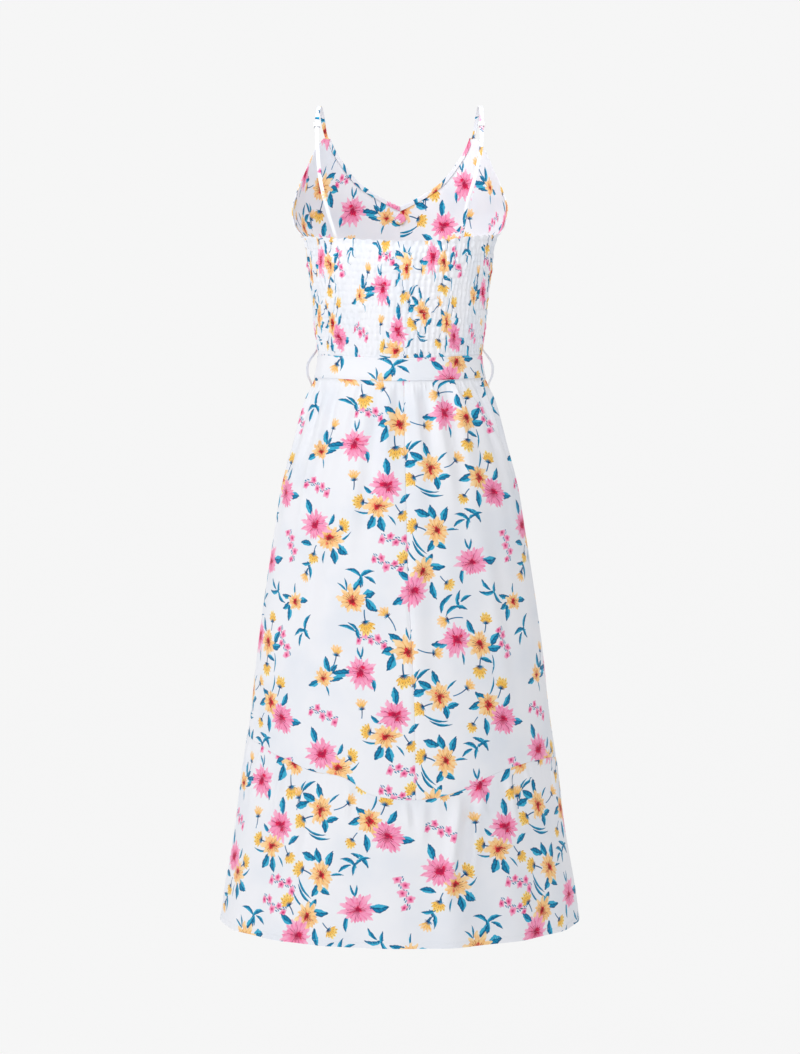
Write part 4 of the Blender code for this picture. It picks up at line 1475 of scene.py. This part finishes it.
# From this angle on, and within so many degrees, the belt's last end rises over its first.
OVER_FROM = 235.0
OVER_WITHIN = 18.0
BELT_RIPPLE = 0.0005
BELT_ROUNDING = 0.0005
BELT_ROUNDED_WITHIN = 0.0012
BELT_GROOVE = 0.0003
BELT_GROOVE_REACH = 0.0007
BELT_STITCHED_IN = 0.0024
LOWEST_RIPPLE = -0.0002


def belt_height(angle, share):
    """The height of a place on the belt, at a share of the way down it."""
    return waist_height(angle) + BELT_RISE - (BELT_RISE + BELT_FALL) * share


def belt_lift(angle, share):
    over = step((angle - OVER_FROM) / OVER_WITHIN)
    ripple = BELT_RIPPLE * wander(angle * 0.11, 3.0) * np.sin(math.pi * share)
    edge = np.minimum(share, 1 - share) * (BELT_RISE + BELT_FALL)
    rounded = -BELT_ROUNDING * (1 - step(edge / BELT_ROUNDED_WITHIN))
    stitched = -BELT_GROOVE * bell((edge - BELT_STITCHED_IN) / BELT_GROOVE_REACH)
    lift = BELT_LIFT + (BELT_WALL + SEAM_GAP) * over + BELT_WALL
    return lift + rounded + stitched + np.maximum(ripple, LOWEST_RIPPLE)


def belt():
    angle = np.linspace(-90.0 - BELT_OVERLAP, 270.0 + BELT_OVERLAP, 380)[None, :]
    parts = np.linspace(0, 0.12, 7), np.linspace(0.14, 0.86, 16), np.linspace(0.88, 1.0, 7)
    share = np.concatenate(parts)[:, None]
    height = belt_height(angle, share)
    points = body(angle, height, belt_lift(angle, share))
    flat = flat_places(run_along(points[15:16], 190), height, (0.1135, -0.138))
    sheet("belt", points, flat, TRIM, BELT_WALL * 0.8)


belt()

# %% [markdown]
# ## Straps
# Each strap is a narrow sewn tube pressed flat. It rises from the point of the front, goes over the
# shoulder and down to the inside of the smocked back, and below its slider it is doubled. A strap is a
# section carried along a smooth curve through the CAD model's own points.

# %% Make the straps
STRAP_WIDTH = 0.0059
STRAP_WALL = 0.0013
# The angle at which each strap goes in behind the back's top edge.
STRAP_FOOT = {"left": 47.6, "right": 129.6}
STRAP_ROWS = {
    "left": (
        # x, y, z, turn
        (0.1102, -0.0490, -0.0250, 40.0),
        (0.1130, -0.0290, -0.0075, 20.0),
        (0.1148, -0.0080, -0.0008, 5.0),
        (0.1168, 0.0090, -0.0075, 0.0),
        (0.1184, 0.0225, -0.0330, 0.0),
        (0.1166, 0.0420, -0.0731, -4.0),
        (0.1116, 0.0550, -0.1194, -12.0),
        (0.1011, 0.0615, -0.1620, -24.0),
    ),
    "right": (
        (-0.1098, -0.0490, -0.0250, -40.0),
        (-0.1124, -0.0290, -0.0075, -20.0),
        (-0.1142, -0.0080, -0.0008, -5.0),
        (-0.1166, 0.0090, -0.0070, 0.0),
        (-0.1162, 0.0220, -0.0320, 0.0),
        (-0.1150, 0.0405, -0.0674, 4.0),
        (-0.1060, 0.0535, -0.1110, 12.0),
        (-0.0956, 0.0620, -0.1480, 24.0),
    ),
}
STRAP_STEPS = 12
# The row of places where the slider sits. The strap is double below it.
SLIDER_ROW = 4
SECTION_SIDES = 16
DOUBLED_GROOVE = 0.25
STRAP_CLEARANCE = 0.0006
# The strap's turn where it leaves the front, and its last places above and below the back's top edge.
STRAP_TURN = 48.0
STRAP_ENDS = (0.008, -0.003, -0.016)


def curve_through(rows, steps):
    """Points on a smooth curve through rows of numbers, with a few steps between each two."""
    rows = np.array(rows, dtype=float)
    t = (np.arange(steps) / steps)[:, None]
    rise = t * t * (3 - 2 * t)
    made = []
    for i, (start, end) in enumerate(zip(rows[:-1], rows[1:])):
        before, after = rows[max(i - 1, 0)], rows[min(i + 2, len(rows) - 1)]
        out = (end - before) * 0.5 * t * (1 - t) ** 2
        back = (after - start) * 0.5 * t * t * (t - 1)
        made.append(start + (end - start) * rise + out + back)
    return np.concatenate([*made, rows[-1:]])


def section():
    """A flat tube's section as shares of its half width and half thickness, with rounded edges."""
    turn = FULL_TURN * np.arange(SECTION_SIDES) / SECTION_SIDES
    round_share = np.stack([np.cos(turn), np.sin(turn)], axis=-1)
    return np.sign(round_share) * np.abs(round_share) ** [0.45, 0.75]


def face_outwards(piece):
    shape = bmesh.new()
    shape.from_mesh(piece.data)
    bmesh.ops.recalc_face_normals(shape, faces=shape.faces)
    shape.to_mesh(piece.data)
    shape.free()


def closed_tube(node_name, rings, flat):
    """A closed body through rings of points, with flat ends and a flat place for each point."""
    index = np.arange(rings[..., 0].size).reshape(rings.shape[:2])
    around = np.roll(index, -1, axis=1)
    quads = np.stack([index[:-1], around[:-1], around[1:], index[1:]], axis=-1).reshape(-1, 4)
    ends = [index[0][::-1].tolist(), index[-1].tolist()]
    piece = add_mesh(node_name + "_cloth", rings, quads.tolist() + ends, flat)
    face_outwards(piece)
    finish_cloth(node_name, piece, area_of(piece) / 2, TRIM)


def strap(side, print_from):
    """Makes a strap. Gives the place and the along and across directions of its slider."""
    points = from_the_v(side)
    ends = [NECK_COLUMNS - 1, NECK_COLUMNS + POINT_COLUMNS]
    outer = points[0, ends] + [0.0, 0.0, SEAM_GAP]
    inner = outer - outward_of(points)[ends] * FRONT_WALL
    first_turn = STRAP_TURN if side == "left" else -STRAP_TURN
    places = [(*((outer + inner).sum(axis=0) / 4), first_turn), *STRAP_ROWS[side]]
    foot = STRAP_FOOT[side]
    for above in STRAP_ENDS:
        height = read(BACK_TOP, foot) + above
        facing = body(foot, height, 1.0) - body(foot, height)
        place = body(foot, height, -(FRONT_WALL + STRAP_CLEARANCE + STRAP_WALL))
        places.append((*place, math.degrees(math.atan2(facing[1], facing[0])) - 90.0))
    path = curve_through(places, STRAP_STEPS)
    doubled_from = (SLIDER_ROW + 1) * STRAP_STEPS
    shares = section()
    u, v = (shares[:, :1] + 1) / 2, (shares[:, 1:] + 1) / 2
    rings = [(inner[0] * (1 - u) + inner[1] * u) * (1 - v) + (outer[0] * (1 - u) + outer[1] * u) * v]
    for k in range(1, len(path)):
        place, turn = path[k, :3], math.radians(path[k, 3])
        along = direction(path[min(k + 1, len(path) - 1), :3] - path[k - 1, :3])
        across = np.array([math.cos(turn), math.sin(turn), 0.0])
        across = direction(across - along * across.dot(along))
        out = np.cross(across, along)
        if out[1 if k >= doubled_from else 2] < 0:
            out = -out
        if side == "right" and across[0] > 0:
            across = -across
        if k == doubled_from:
            slider_frame = place, along, across
        doubled = step((k - doubled_from) / 3)
        half_thick = STRAP_WALL * (1 + doubled) / 2
        groove = 1 - DOUBLED_GROOVE * doubled * (np.abs(shares[:, 1:]) < 0.5)
        ring = across * shares[:, :1] * groove * STRAP_WIDTH / 2 + out * shares[:, 1:] * half_thick
        rings.append(place + ring)
    run = run_along(path[None, :, :3])[0]
    wrap = run_along((shares * [1.0, 0.15])[None])[0]
    closed_tube(
        "strap_" + side, np.array(rings), turned_flat(run[:, None], wrap * STRAP_WIDTH / 2, print_from)
    )
    return slider_frame


SLIDER_FRAMES = {"left": strap("left", (0.196, 0.096)), "right": strap("right", (0.252, 0.140))}

# %% [markdown]
# ## Strap sliders
# A slider is a small ring of white moulded plastic that the strap is threaded through, so that its length
# can be set. It starts as a cube of the slider's size. Both ends are inset and bridged, which opens it, and
# a bevel rounds its edges as a mould does.

# %% Make the sliders
SLIDER_BAR = 0.0013
SLIDER_HEIGHT = 0.0062
SLIDER_CLEARANCE = 0.0004
SLIDER_ROUNDING = 0.0004
GRAIN_HEIGHT = 0.00005


def grain(tree, scale):
    """Fine noise in the object's own place."""
    return noise(node(tree, "ShaderNodeTexCoord", output="Object"), scale, 3.0)


def grained_material(name, roughness, sheen, scale, strength, dark, light):
    """A surface with an even grain in its height and colour. Gives its tree, shader and grain too."""
    made, tree, shader = matt_material(
        name, roughness, sheen, lambda own: grain(own, scale), strength, GRAIN_HEIGHT
    )
    cloud = grain(tree, scale)
    tree.links.new(mix(cloud + 0.5, dark, light).socket, shader.inputs["Base Color"])
    return made, tree, shader, cloud


plastic = "white plastic", 0.28, 0.0, 700.0, 0.2, srgb(240, 241, 243), srgb(250, 250, 250)
PLASTIC, plastic_tree, plastic_shader, cloud = grained_material(*plastic)
plastic_tree.links.new(ramp(cloud, -0.2, 0.2, 0.22, 0.36).socket, plastic_shader.inputs["Roughness"])


def slider(side, place, along, across):
    bpy.ops.object.select_all(action="DESELECT")
    bpy.ops.mesh.primitive_cube_add(size=1.0)
    piece = bpy.context.object
    piece.name = "strap_slider_" + side + "_ring"
    width = STRAP_WIDTH + 2 * (SLIDER_CLEARANCE + SLIDER_BAR)
    depth = 2 * (STRAP_WALL + SLIDER_CLEARANCE + SLIDER_BAR)
    piece.scale = (width, depth, SLIDER_HEIGHT)
    bpy.ops.object.transform_apply(location=False, rotation=False, scale=True)
    bpy.ops.object.mode_set(mode="EDIT")
    select_parts(piece, "FACE", lambda face: abs(face.normal.z) > 0.9)
    bpy.ops.mesh.inset(thickness=SLIDER_BAR, depth=0.0, use_individual=True)
    bpy.ops.mesh.bridge_edge_loops()
    bpy.ops.mesh.select_all(action="SELECT")
    bpy.ops.mesh.normals_make_consistent(inside=False)
    bpy.ops.object.mode_set(mode="OBJECT")
    bevel = piece.modifiers.new("mould", "BEVEL")
    bevel.width = SLIDER_ROUNDING
    bevel.segments = 3
    bpy.ops.object.modifier_apply(modifier="mould")
    bpy.ops.object.shade_smooth_by_angle(angle=math.radians(40))
    turned = np.array([across, np.cross(along, across), along]).T
    for vert in piece.data.vertices:
        vert.co = Vector(turned @ np.array(vert.co) + place)
    piece.data.materials.append(PLASTIC)
    PIECES["strap_slider_" + side] = piece
    print(piece.name, "faces:", len(piece.data.polygons))


for side, slider_frame in SLIDER_FRAMES.items():
    slider(side, *slider_frame)

# %% [markdown]
# ## Belt loops
# A narrow sewn loop stands at each side seam, from just above the belt to just below it.

# %% Make the belt loops
LOOP_WIDTH = 0.0050
LOOP_TWIST = 0.75
LOOP_WALL = 0.0011
LOOP = (
    # out_from_cloth, height
    (0.0017, -0.3440),
    (0.0019, -0.3500),
    (0.0060, -0.3560),
    (0.0125, -0.3650),
    (0.0150, -0.3750),
    (0.0118, -0.3870),
    (0.0050, -0.3975),
    (0.0021, -0.4035),
    (0.0023, -0.4090),
)


def belt_loop(side, print_from):
    facing = 1.0 if side == "left" else -1.0
    path = curve_through([((read(BODY, height, 1) + out) * facing, 0.0, height) for out, height in LOOP], 6)
    level = np.array([0.0, 1.0, 0.0])
    out = np.cross(direction(np.gradient(path, axis=0)), level)
    twist = LOOP_TWIST * np.sin(math.pi * np.linspace(0.0, 1.0, len(path)))[:, None]
    across = (level * np.cos(twist) + out * np.sin(twist))[:, None] * LOOP_WIDTH / 2
    thick = (out * np.cos(twist) - level * np.sin(twist))[:, None] * LOOP_WALL / 2
    shares = section()
    rings = path[:, None] + across * shares[None, :, :1] + thick * shares[None, :, 1:]
    run = run_along(path[None])[0][:, None]
    closed_tube("belt_loop_" + side, rings, turned_flat(run, shares[:, 0] * LOOP_WIDTH / 2, print_from))


belt_loop("left", (0.348, 0.252))
belt_loop("right", (0.348, 0.252))

# %% [markdown]
# ## The covered button
# A dome of metal is covered with a circle of the dress cloth and sits on the inside under the point of the
# V. It starts as a cylinder. Its upper face is extruded and scaled in small steps, which rounds it to a
# dome. The foot stays narrower, as on the real button, where the cloth is gathered under.

# %% Make the button
BUTTON_HEIGHT = -0.1475
BUTTON_RADIUS = 0.0082
BUTTON_THICKNESS = 0.0034
BUTTON_SEAT = 0.0008
BUTTON_STEPS = (
    # radius_share, depth_share
    (0.985, 0.24),
    (1.000, 0.38),
    (0.985, 0.54),
    (0.930, 0.69),
    (0.840, 0.81),
    (0.700, 0.90),
    (0.520, 0.96),
    (0.300, 0.99),
    (0.100, 1.00),
)


def button():
    """A dome that points along +Z at first, then is turned to face into the dress."""
    radius, depth = 0.90, 0.10
    first_depth = BUTTON_THICKNESS * depth
    bpy.ops.object.select_all(action="DESELECT")
    bpy.ops.mesh.primitive_cylinder_add(vertices=56, radius=BUTTON_RADIUS * radius, depth=first_depth)
    piece = bpy.context.object
    piece.name = "neck_button_cover"
    bpy.ops.object.mode_set(mode="EDIT")
    select_parts(piece, "FACE", lambda face: face.normal.z > 0.9)
    for to_radius, to_depth in BUTTON_STEPS:
        lift = BUTTON_THICKNESS * (to_depth - depth)
        bpy.ops.mesh.extrude_region_move(TRANSFORM_OT_translate={"value": (0.0, 0.0, lift)})
        bpy.ops.transform.resize(value=(to_radius / radius, to_radius / radius, 1.0))
        radius, depth = to_radius, to_depth
    bpy.ops.object.mode_set(mode="OBJECT")
    seat = body(-90.0, BUTTON_HEIGHT, -(FRONT_WALL + BUTTON_SEAT))
    up = direction(body(-90.0, BUTTON_HEIGHT + 0.01) - body(-90.0, BUTTON_HEIGHT - 0.01))
    right = np.array([-1.0, 0.0, 0.0])
    layer = piece.data.uv_layers.active or piece.data.uv_layers.new()
    layer.name = "Cloth"
    for corner, place in enumerate(layer.data):
        co = piece.data.vertices[piece.data.loops[corner].vertex_index].co
        spread = 1.0 + 0.25 * (BUTTON_THICKNESS - co.z) / BUTTON_THICKNESS
        place.uv = (0.131 + co.x * spread, 0.132 - co.y * spread)
    turned = np.array([right, up, np.cross(right, up)]).T
    for vert in piece.data.vertices:
        vert.co = Vector(turned @ (np.array(vert.co) + [0.0, 0.0, first_depth / 2]) + seat)
    finish_cloth("neck_button", piece, area_of(piece) / 2, TRIM, 60)


button()

# %% [markdown]
# ## Sewing thread
# Seams show as rows of small stitches. One stitch is a lozenge of eight triangles, longer than it is wide,
# and a row is many of them joined in one mesh. The hem, the belt and the elastic rows are stitched.

# %% Sew the stitches
STITCH_PITCH = 0.0034
STITCH_LENGTH = 0.0024
STITCH_WIDTH = 0.00045
LOZENGE = ((1, 2, 3), (0, 3, 2), (1, 3, 4), (0, 4, 3), (1, 4, 5), (0, 5, 4), (1, 5, 2), (0, 2, 5))
BELT_STITCHED_AT = (0.075, 0.925)
ABOVE_HEM = 0.00012
ABOVE_BELT = 0.00008
ABOVE_ELASTIC = 0.00010

thread = "thread", 0.6, 0.2, 2600.0, 0.3, srgb(228, 233, 240), srgb(244, 247, 251)
THREAD = grained_material(*thread)[0]


def cloth_line(angle, height, lift):
    """Points on the cloth for a row of stitches, and the directions straight out of it."""
    return body(angle, height, lift), body(angle, height, 1.0) - body(angle, height)


def stitches(name, lines):
    """Rows of stitches along lines. A line is its points and the directions straight out of the cloth."""
    corners = []
    for points, outs in lines:
        run = run_along(points[None])[0]
        at = (np.arange(int(run[-1] / STITCH_PITCH)) + 0.5) * STITCH_PITCH
        middle, out = places_along(at, run, points), places_along(at, run, outs)
        along = direction(places_along(at + 0.0005, run, points) - middle)
        half = along * STITCH_LENGTH / 2
        wide, high = np.cross(out, along) * STITCH_WIDTH / 2, out * STITCH_WIDTH / 2
        around = middle - half, middle + half, middle + wide, middle + high, middle - wide, middle - high
        corners.append(np.stack(around, axis=1))
    corners = np.concatenate(corners)
    faces = 6 * np.arange(len(corners))[:, None, None] + np.array(LOZENGE)
    piece = add_mesh(name, corners, faces.reshape(-1, 3).tolist())
    face_outwards(piece)
    piece.data.shade_smooth()
    piece.data.materials.append(THREAD)
    PIECES[name] = piece
    print(name, "stitches:", len(corners))


turn = np.linspace(0.5, 359.5, 1500)
height = hem_height(turn) + HEM_TURNED
share = (read(TIER_SEAM, turn) - height) / (read(TIER_SEAM, turn) - hem_height(turn))
stitches("hem_stitches", [cloth_line(turn, height, flounce_lift(turn, height, share) + ABOVE_HEM)])

lines = []
turn = np.linspace(-90.0 - BELT_OVERLAP + 1, 270.0 + BELT_OVERLAP - 1, 1500)
for share in BELT_STITCHED_AT:
    lines.append(cloth_line(turn, belt_height(turn, share), belt_lift(turn, share) + ABOVE_BELT))
stitches("belt_stitches", lines)

lines = []
turn = np.linspace(1.5, 178.5, 1200)
for row in range(ELASTIC_ROWS):
    raised = smocking_lift(turn, float(row)) * (FIRST_ROWS[0] if row == 0 else 1.0)
    lines.append(cloth_line(turn, elastic_height(turn, row), raised + ABOVE_ELASTIC))
stitches("elastic_stitches", lines)

# %% [markdown]
# ## Joining the pieces to the model
# Gathered cloth was wider before it was sewn, so the cut of the skirt and the smocked back is larger than
# what shows.

# %% Say what each piece is
SEWN = (
    # node, slot, width, length, held, fuller, rests_on, sewn_with
    ("skirt_back_left", "printed_cloth", 0.38, 0.60, "gathered", 1.06, ["belt"]),
    ("skirt_back_right", "printed_cloth", 0.38, 0.60, "gathered", 1.06, ["belt"]),
    ("skirt_front", "printed_cloth", 0.72, 0.56, "gathered", 1.06, ["belt"]),
    (
        "flounce_back", "printed_cloth", 0.78, 0.30, "gathered", 1.05,
        ["skirt_back_left_cloth"], "hem_stitches",
    ),
    ("flounce_front", "printed_cloth", 0.78, 0.34, "gathered", 1.05, ["skirt_front_cloth"]),
    (
        "back_bodice", "smocked_cloth", 0.50, 0.19, "gathered", 1.25,
        ["strap_left_cloth", "strap_right_cloth"], "elastic_stitches",
    ),
    ("front_bodice_left", "printed_cloth", 0.30, 0.35, "hung", 1.0, ["strap_left_cloth"]),
    ("strap_left", "strap_cloth", 0.017, 0.36, "hung", 1.0, []),
    ("front_bodice_right", "printed_cloth", 0.30, 0.35, "hung", 1.0, ["strap_right_cloth"]),
    ("strap_right", "strap_cloth", 0.017, 0.36, "hung", 1.0, []),
    ("neck_binding_left", "printed_binding", 0.030, 0.20, "stretched", 1.0, ["front_bodice_left_cloth"]),
    ("neck_binding_right", "printed_binding", 0.030, 0.20, "stretched", 1.0, ["front_bodice_right_cloth"]),
    ("belt", "printed_cloth", 0.80, 0.066, "stretched", 1.0, ["back_bodice_cloth"], "belt_stitches"),
    ("belt_loop_left", "strap_cloth", 0.010, 0.075, "hung", 1.0, ["skirt_front_cloth"]),
    ("belt_loop_right", "strap_cloth", 0.010, 0.075, "hung", 1.0, ["skirt_front_cloth"]),
    ("neck_button", "covered_button", 0.022, 0.022, "stretched", 1.0, ["front_bodice_left_cloth"]),
)
STITCHED = {
    "hem_stitches": "printed_cloth",
    "belt_stitches": "printed_cloth",
    "elastic_stitches": "smocked_cloth",
}
SLIDERS = {"strap_slider_left": "white_plastic", "strap_slider_right": "white_plastic"}

slots = {row[0]: row[1] for row in SEWN} | SLIDERS
for node_name, slot in slots.items():
    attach(PIECES[node_name], "root")
    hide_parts(node_name)
for name, slot in STITCHED.items():
    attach(PIECES[name], "root")
print("pieces:", len(PIECES))

# %% [markdown]
# ## Count the triangles
# The triangles of the added pieces are counted. The dressed part has to stay in the CAD
# model's box, but for what cloth may stand proud.

# %% Count the triangles
print("triangles added:", sum(len(face.vertices) - 2 for o in PIECES.values() for face in o.data.polygons))
